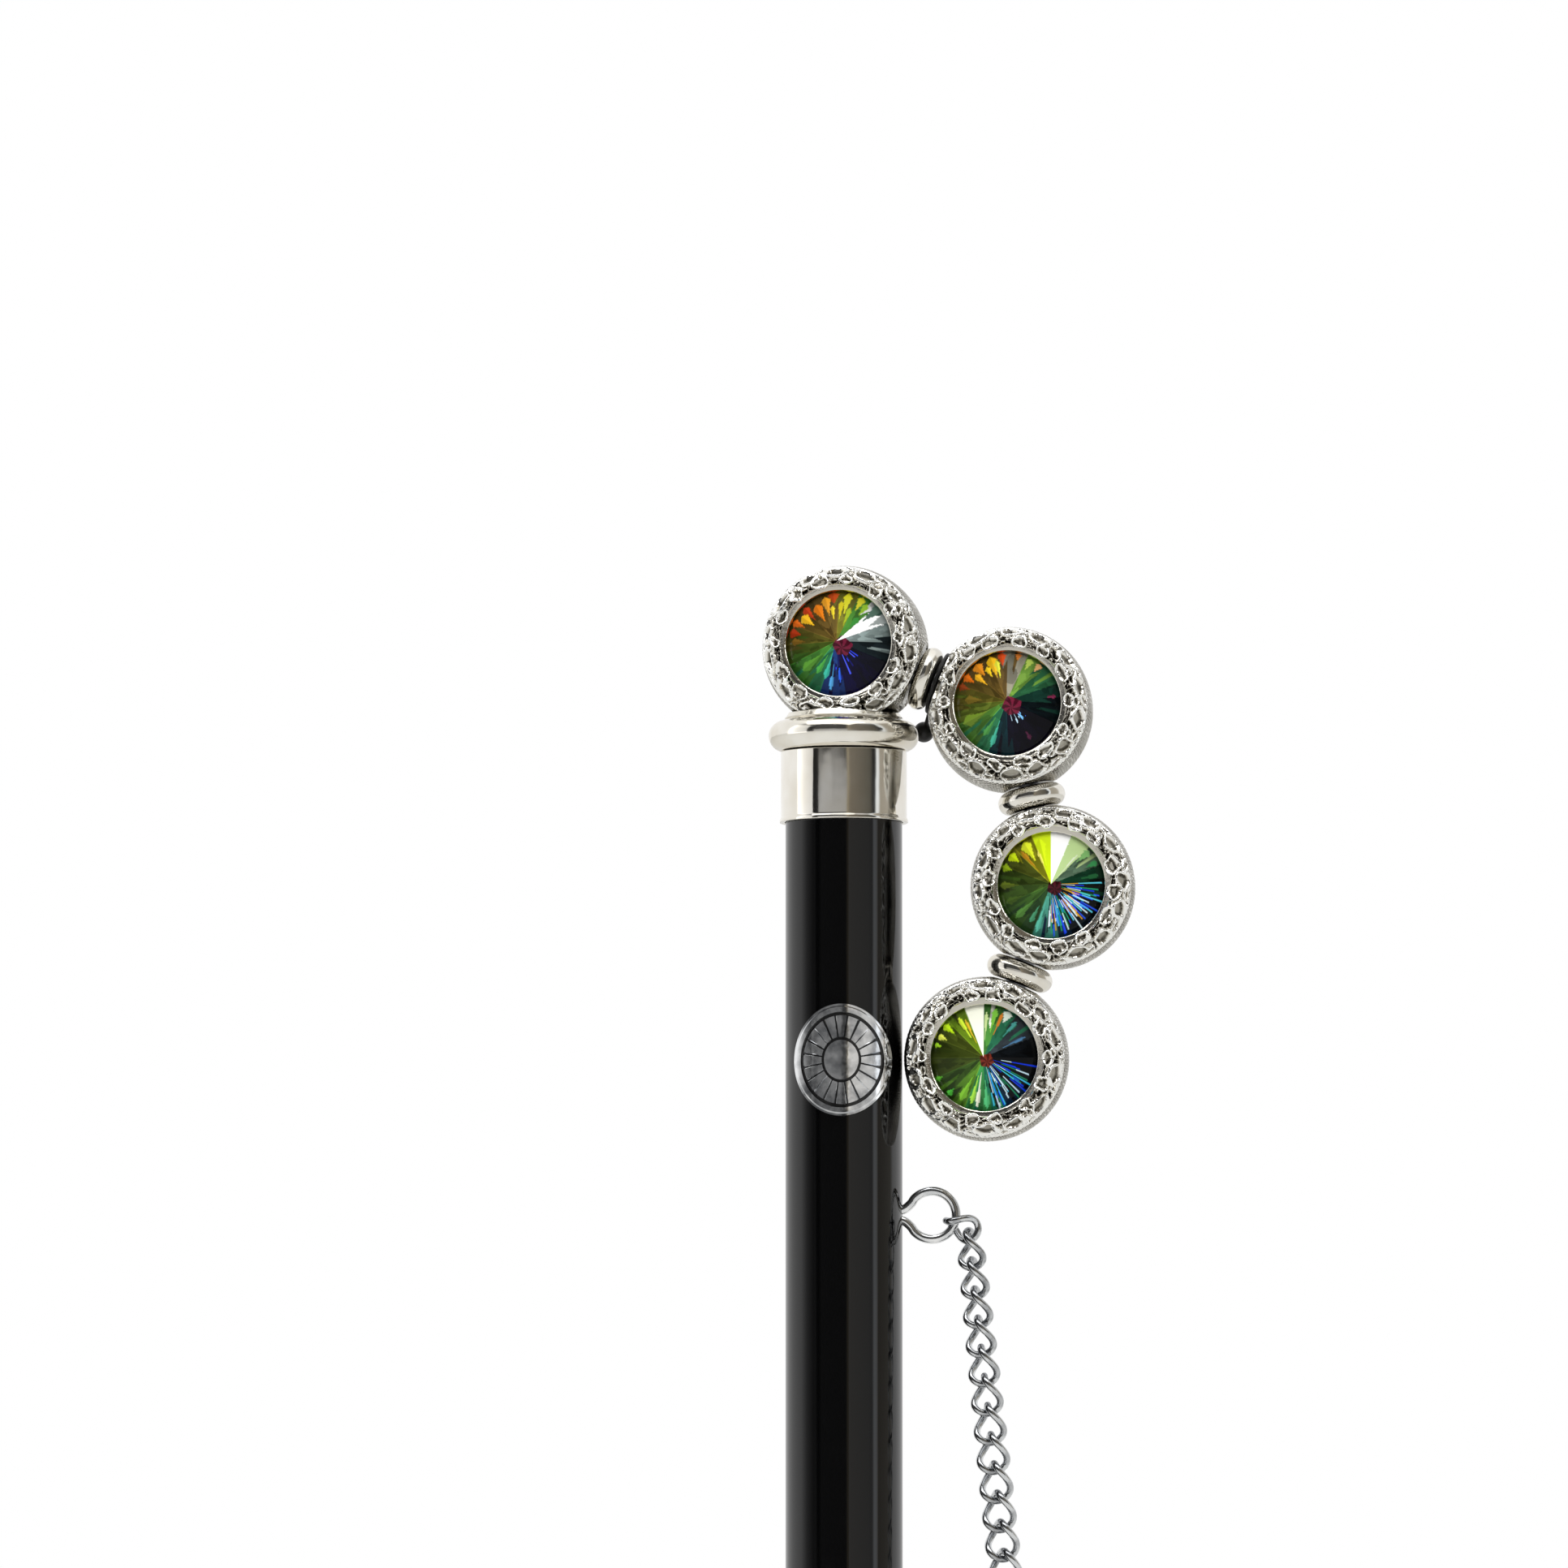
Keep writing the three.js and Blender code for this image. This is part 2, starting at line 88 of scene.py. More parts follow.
# A bead's outer curve is radius = GIRTH * (1 - |y / DEPTH| ^ POWER) ^ (1 / POWER). The bezel runs
# from FACE_END to JOINT and the cup from JOINT to BACK, with its floor at CUP_FLOOR.
GIRTH = 6.35
DEPTH = 5.3
POWER = 2.6
FACE_END = -3.9
JOINT = -2.2
JOINT_GAP = 0.05
BACK = 4.6
CUP_FLOOR = 3.6
WALL = 1.1
BEZEL_BORE = [(4.75, -4.02), (4.25, -3.65), (4.06, -3.15), (4.06, -2.8)]
BEZEL_HIDDEN = [(4.22, -2.72), (4.22, -2.3), (3.75, -2.1), (3.75, -1.85), (4.85, -1.85)]
CRYSTAL = Sizes(facets=16, radius=4.15, girdle=-2.6, girdle_back=-2.4, front=-4.1, back=-0.5)
SPACER = Sizes(rim=1.75, hole=0.98, thick=1.76, first_thick=1.5, gap=0.12)
WASHER = Sizes(radius=2.45, seat=3.0, thick=0.28)
LUG = Sizes(place=(5.95, 3.0, 107.45), radius=0.8, neck=0.16, start=2.2)
BADGE = Sizes(z=81.6, x=0.2, half_width=3.75, half_height=4.3, inner=4.62, outer=4.98)
EYE = Sizes(z=69.94, x=6.78, ring=1.85, wire=0.36, shank_end=1.2, leg=0.38, leg_end=3.6, bend=4.55)
LINK = Sizes(count=18, wire=0.275, half_width=1.12, half_length=1.44, pitch=2.25, twist=45)
LINK_TURN = Sizes(first=-62, step=4)
LEAN = 6
JOINING = Sizes(half_length=1.3, half_width=0.95, slope=22, play=0.05, slack=0.1)
DROP = Sizes(loop=0.72, wire=0.24, radius=1.35, length=4.6, neck=0.18, play=0.03)

# ------------------------------------------------------------------ mesh helpers


def smooth(x):
    """A soft step from 0 to 1."""
    x = np.clip(x, 0, 1)
    return x * x * (3 - 2 * x)


def grid_faces(rows, columns, closed=False):
    """Quads of a grid whose columns wrap round, and whose rows do too when it is closed."""
    r = np.arange(rows if closed else rows - 1)[:, None]
    c = np.arange(columns)[None, :]
    here, after = r * columns, ((r + 1) % rows) * columns
    right = (c + 1) % columns
    return np.stack([here + c, here + right, after + right, after + c], -1).reshape(-1, 4)


def rounded(corners, radius, steps=4, closed=False):
    """A profile whose corners are small curves."""
    corners = [np.array(c, float) for c in corners]
    count = len(corners)
    out = []
    for i, corner in enumerate(corners):
        if not closed and i in (0, count - 1):
            out.append(corner)
            continue
        before, after = corners[i - 1] - corner, corners[(i + 1) % count] - corner
        back, ahead = np.linalg.norm(before), np.linalg.norm(after)
        cut = min(radius, 0.45 * back, 0.45 * ahead)
        start, end = corner + before / back * cut, corner + after / ahead * cut
        for t in np.linspace(0, 1, steps + 1):
            out.append((1 - t) ** 2 * start + 2 * t * (1 - t) * corner + t * t * end)
    return np.array(out)


def spaced(profile, step):
    """The same line with points no further apart than step."""
    profile = np.array(profile, float)
    out = [profile[:1]]
    for a, b in zip(profile[:-1], profile[1:]):
        pieces = max(1, math.ceil(np.linalg.norm(b - a) / step))
        out.append(a + (b - a) * (np.arange(1, pieces + 1) / pieces)[:, None])
    return np.concatenate(out)


def revolve(profile, columns, about="Z"):
    """Turns [radius, height] points about Z, or about Y with the clock's twelve at +Z."""
    angle = FULL_TURN * np.arange(columns) / columns
    r, h = np.asarray(profile, float).T
    one, two = np.outer(r, np.cos(angle)), np.outer(r, np.sin(angle))
    level = np.repeat(h[:, None], columns, 1)
    parts = (one, two, level) if about == "Z" else (two, level, one)
    return np.stack(parts, -1).reshape(-1, 3)


def wrapped(sheet, angle):
    """Turns a sheet of [radius, height] points, with one column for each angle, about Y."""
    r, h = sheet[..., 0], sheet[..., 1]
    return np.stack([r * np.sin(angle), h, r * np.cos(angle)], -1).reshape(-1, 3)


def lifted(profile, run, height, side=1):
    """A sheet made from a profile: each point moved along the profile's normal by its height."""
    slope = np.gradient(profile, run, axis=0)
    normal = side * np.stack([-slope[:, 1], slope[:, 0]], 1)
    return profile[:, None, :] + normal[:, None, :] * height[..., None]


def length_along(profile):
    steps = np.linalg.norm(np.diff(profile, axis=0), axis=1)
    return np.concatenate([[0], np.cumsum(steps)])


def tube(line, radius, sides, closed=True):
    """A round wire along a line: points and faces."""
    line = np.asarray(line, float)
    count = len(line)
    if closed:
        along = np.roll(line, -1, 0) - np.roll(line, 1, 0)
    else:
        along = np.gradient(line, axis=0)
    along /= np.linalg.norm(along, axis=1)[:, None]
    side = np.cross(along[0], [0.3, 0.9, 0.2])
    side /= np.linalg.norm(side)
    sides_at = [side]
    for tangent in along[1:]:
        side = side - tangent * side.dot(tangent)
        side /= np.linalg.norm(side)
        sides_at.append(side)
    sides_at = np.array(sides_at)
    across = np.cross(along, sides_at)
    twist = 0.0
    if closed:
        last = side - along[0] * side.dot(along[0])
        twist = math.atan2(last.dot(across[0]), last.dot(sides_at[0]))
    turn = FULL_TURN * np.arange(sides)[None, :] / sides - twist * np.arange(count)[:, None] / count
    turn = turn[..., None]
    outwards = np.cos(turn) * sides_at[:, None] + np.sin(turn) * across[:, None]
    points = line[:, None] + radius * outwards
    faces = grid_faces(count, sides, closed).tolist()
    if not closed:
        faces.append(list(range(sides)))
        faces.append([(count - 1) * sides + i for i in range(sides)])
    return points.reshape(-1, 3), faces


def joined(*solids):
    """Several (points, faces) as one."""
    points, faces, start = [], [], 0
    for some_points, some_faces in solids:
        points.append(some_points)
        faces.extend([[int(i) + start for i in face] for face in some_faces])
        start += len(some_points)
    return np.concatenate(points), faces


def add_piece(name, solid, material, slot, nodes, body="root", place=None, sharp=None, values=None):
    """Makes a piece from (points, faces) in millimetres, and stands it in for CAD nodes. The points
    are in the piece's own frame, which `place` puts in the scene; `values` are point attributes."""
    points, faces = solid
    points = np.asarray(points, float) * MM
    if place is not None:
        points = points @ np.array(place.to_3x3()).T
    mesh = bpy.data.meshes.new(name)
    mesh.from_pydata(points.tolist(), [], [list(map(int, f)) for f in faces])
    mesh.update()
    for key, value in (values or {}).items():
        kind, field = ("FLOAT_COLOR", "color") if value.ndim == 2 else ("FLOAT", "value")
        attribute = mesh.attributes.new(key, kind, "POINT")
        attribute.data.foreach_set(field, value.astype(np.float32).ravel())
    cleaner = bmesh.new()
    cleaner.from_mesh(mesh)
    bmesh.ops.remove_doubles(cleaner, verts=cleaner.verts, dist=1e-8)
    bmesh.ops.recalc_face_normals(cleaner, faces=cleaner.faces)
    cleaner.to_mesh(mesh)
    cleaner.free()
    mesh.shade_smooth()
    if sharp is not None:
        mesh.set_sharp_from_angle(angle=math.radians(sharp))
    for some in material if isinstance(material, list) else [material]:
        mesh.materials.append(some)
    piece = bpy.data.objects.new(name, mesh)
    scene.collection.objects.link(piece)
    if place is not None:
        piece.location = place.to_translation()
    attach(piece, body)
    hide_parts(*nodes)
    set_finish(piece, slot)
    return piece


def place_at(position, turn=None):
    """The matrix of a piece at a position in millimetres, turned."""
    matrix = Matrix.Translation(Vector(position) * MM)
    return matrix @ turn.to_4x4() if turn is not None else matrix


# ------------------------------------------------------------------ noise in mesh code


def waves(points, scale, count, rng):
    """Smooth random bumps of about `scale`, from -1 to 1: a sum of plane waves."""
    total = np.zeros(len(points))
    for _ in range(count):
        direction = rng.normal(size=3)
        direction /= np.linalg.norm(direction)
        length = scale * rng.uniform(0.7, 1.5)
        total += np.sin(points @ direction * (FULL_TURN / length) + rng.uniform(0, FULL_TURN))
    return total / math.sqrt(count)


# ------------------------------------------------------------------ material helpers


def srgb(text):
    """A colour written as six hex digits, as linear numbers."""
    values = [int(text[i:i + 2], 16) / 255 for i in (0, 2, 4)]
    return [v / 12.92 if v <= 0.04045 else ((v + 0.055) / 1.055) ** 2.4 for v in values]


class Tree:
    """The nodes of a material or a world, with short calls to add them."""

    def __init__(self, owner):
        owner.use_nodes = True
        self.nodes = owner.node_tree.nodes
        self.links = owner.node_tree.links

    def give(self, socket, value):
        """Feeds a socket with an output, a number, hex digits or a linear triple."""
        if isinstance(value, bpy.types.NodeSocket):
            self.links.new(value, socket)
        elif isinstance(value, (str, tuple)):
            socket.default_value = (*(srgb(value) if isinstance(value, str) else value), 1)
        else:
            socket.default_value = value

    def node(self, kind, **settings):
        """A shader node, with settings for its sockets or its own properties."""
        node = self.nodes.new("ShaderNode" + kind)
        for key, value in settings.items():
            if key in node.inputs:
                node.inputs[key].default_value = value
            else:
                setattr(node, key, value)
        return node

    def maths(self, operation, *values):
        node = self.node("Math", operation=operation)
        for socket, value in zip(node.inputs, values):
            self.give(socket, value)
        return node.outputs[0]

    def ramp(self, factor, stops):
        """A colour ramp; its stops are (place, hex digits, linear triple or grey number)."""
        node = self.node("ValToRGB")
        elements = node.color_ramp.elements
        while len(elements) < len(stops):
            elements.new(0.5)
        for element, (at, colour) in zip(elements, stops):
            if isinstance(colour, str):
                colour = srgb(colour)
            elif not isinstance(colour, tuple):
                colour = [colour] * 3
            element.position = at
            element.color = (*colour, 1)
        self.give(node.inputs["Fac"], factor)
        return node.outputs["Color"]

    def mix(self, factor, one, other):
        node = self.node("Mix", data_type="RGBA")
        for socket, value in ((0, factor), (6, one), (7, other)):
            self.give(node.inputs[socket], value)
        return node.outputs[2]


class Look(Tree):
    """A Principled material with short calls for the patterns that feed it."""

    def __init__(self, name, base, metallic=0.0, roughness=0.5, **sockets):
        self.material = bpy.data.materials.new(name)
        super().__init__(self.material)
        self.shader = self.nodes["Principled BSDF"]
        self.feed("Base Color", base)
        self.feed("Metallic", metallic)
        self.feed("Roughness", roughness)
        for key, value in sockets.items():
            self.feed(key.replace("_", " ").title().replace("Ior", "IOR"), value)

    def feed(self, socket, value):
        self.give(self.shader.inputs[socket], value)

    def vary(self, socket, factor, *stops):
        """Feeds a socket with a ramp over a factor."""
        self.feed(socket, self.ramp(factor, stops))

    def place(self, stretch=(1, 1, 1)):
        """Object coordinates, stretched."""
        where = self.node("TexCoord")
        mapping = self.node("Mapping", Scale=stretch)
        self.links.new(where.outputs["Object"], mapping.inputs["Vector"])
        return mapping.outputs["Vector"]

    def noise(self, scale, detail=2.0, stretch=(1, 1, 1)):
        node = self.node("TexNoise", Scale=scale, Detail=detail)
        self.links.new(self.place(stretch), node.inputs["Vector"])
        return node.outputs["Fac"]

    def bump(self, height, strength, distance):
        """Adds a bump over any that is there already."""
        node = self.node("Bump", Strength=strength, Distance=distance)
        self.links.new(height, node.inputs["Height"])
        before = self.shader.inputs["Normal"].links
        if before:
            self.links.new(before[0].from_socket, node.inputs["Normal"])
        self.links.new(node.outputs["Normal"], self.shader.inputs["Normal"])


# ------------------------------------------------------------------ materials


def silver_look():
    """Warm plated silver with faint swirls of polish and cloudy patches."""
    look = Look("silver_plate", "ebe7dd", metallic=1.0, roughness=0.12)
    cloud = look.noise(260, 3)
    look.vary("Base Color", cloud, (0.3, "d9d2c2"), (0.62, "f1eee6"))
    look.vary("Roughness", look.noise(900, 4), (0.3, 0.06), (0.7, 0.2))
    look.bump(look.noise(420, 3), 0.12, 0.0002)
    return look.material


def relief_look():
    """Cast silver: bright polished ridges over hollows and crevices darkened as painted shade, by a
    point mark of depth; pit floors are a matte grey.
    """
    look = Look("cast_silver", "ebe7dd", metallic=1.0, roughness=0.12)
    depth_shade = look.node("Attribute", attribute_name="relief_shade").outputs["Fac"]
    floor = look.node("Attribute", attribute_name="floor").outputs["Fac"]
    # The depth mark runs from near black in the deepest crevices to near white on the ridges: painted
    # shade in the hollows.
    colour = look.ramp(depth_shade, [
        (0.0, "161512"), (0.3, "6c685e"), (0.5, "cac6bc"), (0.7, "f2f0ea"), (1.0, "fafaf7"),
    ])
    dullness = look.ramp(depth_shade, [(0.0, 0.3), (0.5, 0.14), (1.0, 0.05)])
    look.feed("Base Color", look.mix(floor, colour, "c9c5b9"))
    look.vary("Metallic", floor, (0.3, 1.0), (0.9, 0.3))
    look.feed("Roughness", look.mix(floor, dullness, "b0b0b0"))
    look.bump(look.noise(3200, 4), 0.35, 0.00008)
    return look.material


def satin_look():
    """Silver with a fine brushed grain up and down, for the ferrule."""
    look = Look("brushed_silver", "ebe7dd", metallic=1.0, roughness=0.1)
    lines = look.noise(1500, 3, (1, 1, 0.02))
    look.vary("Base Color", look.noise(200, 3), (0.3, "ded7c8"), (0.65, "f2efe8"))
    look.vary("Roughness", lines, (0.3, 0.05), (0.7, 0.16))
    look.bump(lines, 0.1, 0.00005)
    look.bump(look.noise(240, 2), 0.12, 0.0003)
    return look.material


def chrome_look(name, dull, bright):
    """Neutral bright chrome on drawn wire, with fine scratches."""
    look = Look(name, "c6c8ca", metallic=1.0, roughness=0.1)
    look.vary("Base Color", look.noise(700, 3), (0.35, dull), (0.6, bright))
    look.vary("Roughness", look.noise(2500, 3), (0.3, 0.05), (0.7, 0.18))
    look.bump(look.noise(1500, 2), 0.08, 0.0001)
    return look.material


def lacquer_look():
    """Deep black gloss lacquer with a few specks of dust and a slight unevenness."""
    look = Look("black_lacquer", "050506", roughness=0.05, ior=1.5)
    cells = look.node("TexVoronoi", Scale=620, Randomness=1.0)
    look.links.new(look.place(), cells.inputs["Vector"])
    speck_stops = [(0.0, "8c8c8c"), (0.05, "3a3a3a"), (0.075, "050506")]
    specks = look.ramp(cells.outputs["Distance"], speck_stops)
    picked = look.ramp(look.noise(160, 2), [(0.62, 0.0), (0.66, 1.0)])
    look.feed("Base Color", look.mix(picked, "050506", specks))
    look.vary("Roughness", look.noise(420, 4), (0.35, 0.03), (0.75, 0.1))
    look.bump(look.noise(90, 2), 0.05, 0.0004)
    return look.material


def enamel_look():
    """Black paint in the lines of the badge."""
    look = Look("black_enamel", "0a0a0b", roughness=0.15)
    look.vary("Roughness", look.noise(900, 3), (0.3, 0.08), (0.7, 0.3))
    return look.material


def rubber_look():
    """Satin black rubber for the washer."""
    look = Look("black_rubber", "0c0c0c", roughness=0.45)
    look.vary("Roughness", look.noise(1200, 3), (0.3, 0.35), (0.7, 0.6))
    look.bump(look.noise(1800, 3), 0.2, 0.0001)
    return look.material


def steel_look():
    """Turned steel for the screw and posts inside."""
    look = Look("plain_steel", "8f9196", metallic=1.0, roughness=0.35)
    look.vary("Roughness", look.noise(900, 3, (1, 1, 0.1)), (0.3, 0.25), (0.7, 0.45))
    return look.material


def crystal_look():
    """Cut glass with a coloured coating behind it, under a clear gloss: the facets' point colours hold
    the coating's own tones together with painted light, that is painted reflections, sparkles and
    shade.
    """
    look = Look("cut_crystal", "3c5a2c", roughness=0.12, ior=1.5)
    colours = look.node("Attribute", attribute_name="facet_colour_and_light")
    look.feed("Base Color", colours.outputs["Color"])
    look.feed("Specular IOR Level", 0.08)
    look.feed("Coat Weight", 0.12)
    look.feed("Coat Roughness", 0.01)
    look.feed("Coat IOR", 1.5)
    look.vary("Roughness", look.noise(800, 2), (0.3, 0.08), (0.7, 0.2))
    return look.material


silver, cast_silver, satin = silver_look(), relief_look(), satin_look()
# One chrome in several tones: the copy for the links and the drop is darkened as painted shade, and
# the eye's copy is lightened as a painted highlight, standing in for how light falls on them.
chrome = chrome_look("bright_chrome", "a4a6a9", "ecedee")
eye_chrome_painted_light = chrome_look("eye_chrome_painted_light", "d4d6d8", "f8f8f8")
link_chrome_painted_shade = chrome_look("link_chrome_painted_shade", "787a7e", "dcdee0")
lacquer, enamel, rubber, steel = lacquer_look(), enamel_look(), rubber_look(), steel_look()
glass = crystal_look()

# ------------------------------------------------------------------ stick, ferrule and moulding


def stick():
    """The shaft: a rounded point, a long taper, and the straight part up to its bored end."""
    bottom, tip = STICK.bottom, STICK.tip
    start = bottom + tip
    end = [(tip * math.sin(a), start - tip * math.cos(a)) for a in np.linspace(0, math.pi / 2, 12)]
    taper = []
    for t in np.linspace(0, 1, 49)[1:]:
        radius = tip + (STICK.radius - tip) * math.sin(math.pi / 2 * t)
        taper.append((radius, start + (STICK.taper_top - start) * t))
    top = [(STICK.radius, STICK.top), (STICK.bore, STICK.top)]
    bore = [(STICK.bore, STICK.bore_bottom), (0, STICK.bore_bottom)]
    profile = np.array(end + taper + top + bore)
    return revolve(profile, 160), grid_faces(len(profile), 160)


def ferrule_tube():
    """The plain tube over the end of the shaft, with its turned lip."""
    corners = [
        (TUBE.inner, TUBE.bottom),
        (TUBE.lip, TUBE.bottom),
        (TUBE.lip, TUBE.bottom + 0.5 * TUBE.lip_height),
        (TUBE.outer, TUBE.bottom + TUBE.lip_height),
        (TUBE.outer, TUBE.top),
        (STICK.bore, TUBE.top),
        (STICK.bore, TUBE.top - TUBE.plate),
        (TUBE.inner, TUBE.top - TUBE.plate),
    ]
    profile = rounded(corners, 0.06, closed=True)
    return revolve(profile, 160), grid_faces(len(profile), 160, closed=True)


def bead_radius(y):
    return GIRTH * (1 - np.abs(np.asarray(y) / DEPTH) ** POWER) ** (1 / POWER)


def bead_matrix(index):
    """A bead's own frame: its front faces -Y there."""
    x, z, turn, tip = BEADS[index]
    spin = Matrix.Rotation(math.radians(turn), 3, "Z") @ Matrix.Rotation(math.radians(tip), 3, "X")
    return place_at((x, 0, z), spin)


def ferrule_moulding():
    """The ring and collar under the first bead, hollowed where the bead sits in it."""
    swing = np.linspace(-math.pi / 2, math.pi / 2, 33)
    base, reach, half = MOULDING.base, MOULDING.reach, MOULDING.half
    ring = [(base + reach * math.cos(a), MOULDING.ring_z + half * math.sin(a)) for a in swing]
    ring_top = MOULDING.ring_z + half
    collar_start = ring_top + 0.1
    groove = [(4.62, ring_top + 0.02), (4.5, ring_top + 0.1), (4.56, ring_top + 0.2)]
    collar = []
    for t in np.linspace(0.05, 1, 28):
        flare = (base - MOULDING.collar) * (1 - t) ** 2
        height = collar_start + (MOULDING.top - collar_start) * t
        collar.append((MOULDING.collar + flare, height))
    bore = [(STICK.bore, MOULDING.top), (STICK.bore, MOULDING.bottom)]
    profile = np.array([(STICK.bore, MOULDING.bottom)] + ring + groove + collar + bore[:1])
    columns = 192
    points = revolve(profile, columns)
    sinking = np.array(bead_matrix(0).inverted())
    low = np.full(len(points), MOULDING.bottom + 0.3)
    high = points[:, 2].copy()

    def clear(z):
        """Which points clear the bead when they stand at height z."""
        local = np.column_stack([points[:, :2], z]) @ sinking[:3, :3].T + sinking[:3, 3] / MM
        level = np.clip(local[:, 1], -DEPTH + 0.01, DEPTH - 0.01)
        away = np.hypot(local[:, 0], local[:, 2])
        outside = np.abs(local[:, 1]) > BACK + MOULDING_GAP
        return (away > bead_radius(level) + MOULDING_GAP) | outside

    fine = clear(high)
    for _ in range(24):
        middle = (low + high) / 2
        good = clear(middle)
        low, high = np.where(good, middle, low), np.where(good, high, middle)
    points[:, 2] = np.where(fine, points[:, 2], low)
    return points, grid_faces(len(profile), columns, closed=True)


add_piece("lacquered_stick", stick(), lacquer, "black_lacquer", ["stick_shaft"], sharp=40)
add_piece("ferrule_sleeve", ferrule_tube(), satin, "silver_plate", ["ferrule_tube"], sharp=50)
add_piece("moulded_ring", ferrule_moulding(), silver, "silver_plate", ["ferrule_moulding"], sharp=50)

# ------------------------------------------------------------------ crook: seats and directions

centres = [Vector((x, 0, z)) for x, z, _, _ in BEADS]
crook_links = []
for index in range(3):
    start, end = centres[index], centres[index + 1]
    thick = SPACER.first_thick if index == 0 else SPACER.thick
    washer = WASHER.thick + SPACER.gap if index == 0 else 0
    stack = thick + 2 * SPACER.gap + washer
    seat = ((end - start).length - stack) / 2
    crook_links.append(Sizes(start=start, way=(end - start).normalized(), thick=thick, seat=seat))


def flatten_seats(points, index):
    """Flat seats where the spacers touch the bead, in the bead's own frame."""
    turn = bead_matrix(index).to_3x3().inverted()
    for number, link in enumerate(crook_links):
        if number not in (index, index - 1):
            continue
        way = np.array(turn @ (link.way if number == index else -link.way))
        rim = SPACER.rim + link.thick / 2
        if number == 0 and index == 1:
            rim = WASHER.seat
        height = points @ way
        off_axis = np.linalg.norm(points - height[:, None] * way, axis=1)
        over = (height > link.seat) & (off_axis < rim + SPACER.gap)
        points[over] -= ((height - link.seat)[over, None]) * way
    return points


# ------------------------------------------------------------------ beads


def crosshatch(around, down):
    """Fine diagonal milling, from -1 to 0."""
    one = np.abs(np.sin(math.pi * (around + down) / MILLING.pitch))
    two = np.abs(np.sin(math.pi * (around - down) / MILLING.pitch))
    return -np.minimum(one, two)


# The rows of pits of a bezel: how far down the face from the side, how far round between the
# first row's, radius, and how much the radius varies.
PIT_ROWS = [
    (0.86, 0.0, 0.76, 0.08),
    (2.2, 0.5, 0.6, 0.08),
    (0.3, 0.5, 0.4, 0.06),
    (1.52, 0.46, 0.24, 0.05),
]
PITS_ROUND = 14
FACE_RADIUS = 5.5
CORAL = Sizes(skin=0.16, pit=0.42, rim=0.16, gap=0.38, ridge=0.04, grain=0.025, throat=0.34)
MILLING = Sizes(pitch=0.4, ring=0.06, cup=0.1)


def bezel(index):
    """The cast ring round the crystal: a coral of pits and rims, and a smooth throat."""
    rng = np.random.default_rng(40 + index)
    front = np.linspace(JOINT - JOINT_GAP, FACE_END, 24)
    outer = list(zip(bead_radius(front), front))
    face = spaced(np.array(outer[:-1] + rounded(outer[-1:] + BEZEL_BORE, 0.28, 6).tolist()), 0.06)
    run = length_along(face)
    columns = 512
    angle = FULL_TURN * np.arange(columns) / columns
    around, down = np.meshgrid(angle * FACE_RADIUS, run)
    surface = revolve(face, columns, "Y")

    def uneven(scale, count):
        return waves(surface, scale, count, rng).reshape(around.shape)

    shift = 0.16
    bent_around = around + shift * uneven(1.3, 10)
    bent_down = down + 0.6 * shift * uneven(1.1, 10)

    period = FULL_TURN * FACE_RADIUS
    spacing = period / PITS_ROUND
    start = rng.uniform(0, spacing)
    nearest = np.full(around.shape, 9.0)
    for at, phase, size, spread in PIT_ROWS:
        for k in range(PITS_ROUND):
            u = start + (k + phase + rng.uniform(-0.12, 0.12)) * spacing
            v = at + rng.uniform(-0.13, 0.13)
            radius = size + rng.uniform(-spread, spread)
            squeeze = rng.uniform(0.85, 1.15)
            aside = (bent_around - u + period / 2) % period - period / 2
            away = np.hypot(aside / squeeze, (bent_down - v) * squeeze)
            nearest = np.minimum(nearest, away / radius)
    wall = smooth((nearest - 0.6) / 0.24)
    rim = np.exp(-((nearest - 1.03) / 0.17) ** 2)
    between = smooth((nearest - 1.14) / 0.2)
    ridge = np.exp(-(uneven(0.62, 14) / 0.4) ** 2)
    height = -CORAL.pit * (1 - wall) + CORAL.rim * rim - CORAL.gap * between * (1 - ridge)
    height = height - CORAL.ridge * ridge * between - CORAL.skin
    height = np.minimum(height + CORAL.grain * uneven(0.3, 10) * wall, 0)

    lobes = np.abs(np.sin(0.5 * (around - start) / FACE_RADIUS * PITS_ROUND))
    edge = 2.6 + 0.3 * lobes + 0.06 * uneven(1.6, 6)
    inside = smooth((down - edge) / 0.1)
    throat = -CORAL.throat * (1 - smooth((down - 2.95) / 0.35))
    height = height * (1 - inside) + throat * inside
    side = 1 - smooth((down - 0.02) / 0.12)
    height = height * (1 - side) + MILLING.ring * crosshatch(around, down) * side
    floor = (1 - smooth((nearest - 0.6) / 0.14)) * (1 - inside) * (1 - side)
    # The shade mark darkens pits and crevices by their depth, as painted shade in the hollows; the
    # throat gets one middle tone.
    shade = np.clip(1.1 + height / 0.4, 0, 1) * (1 - inside) + 0.5 * inside

    points = wrapped(lifted(face, run, height), angle)
    hidden = spaced(np.array(BEZEL_HIDDEN + [(4.85, JOINT - JOINT_GAP)]), 0.4)
    points = np.concatenate([points, revolve(hidden, columns, "Y")])
    unseen = np.zeros(len(hidden) * columns)
    marks = {
        "relief_shade": np.concatenate([shade.ravel(), unseen]),
        "floor": np.concatenate([floor.ravel(), unseen]),
    }
    rows_made = len(face) + len(hidden)
    return (flatten_seats(points, index), grid_faces(rows_made, columns, closed=True)), marks


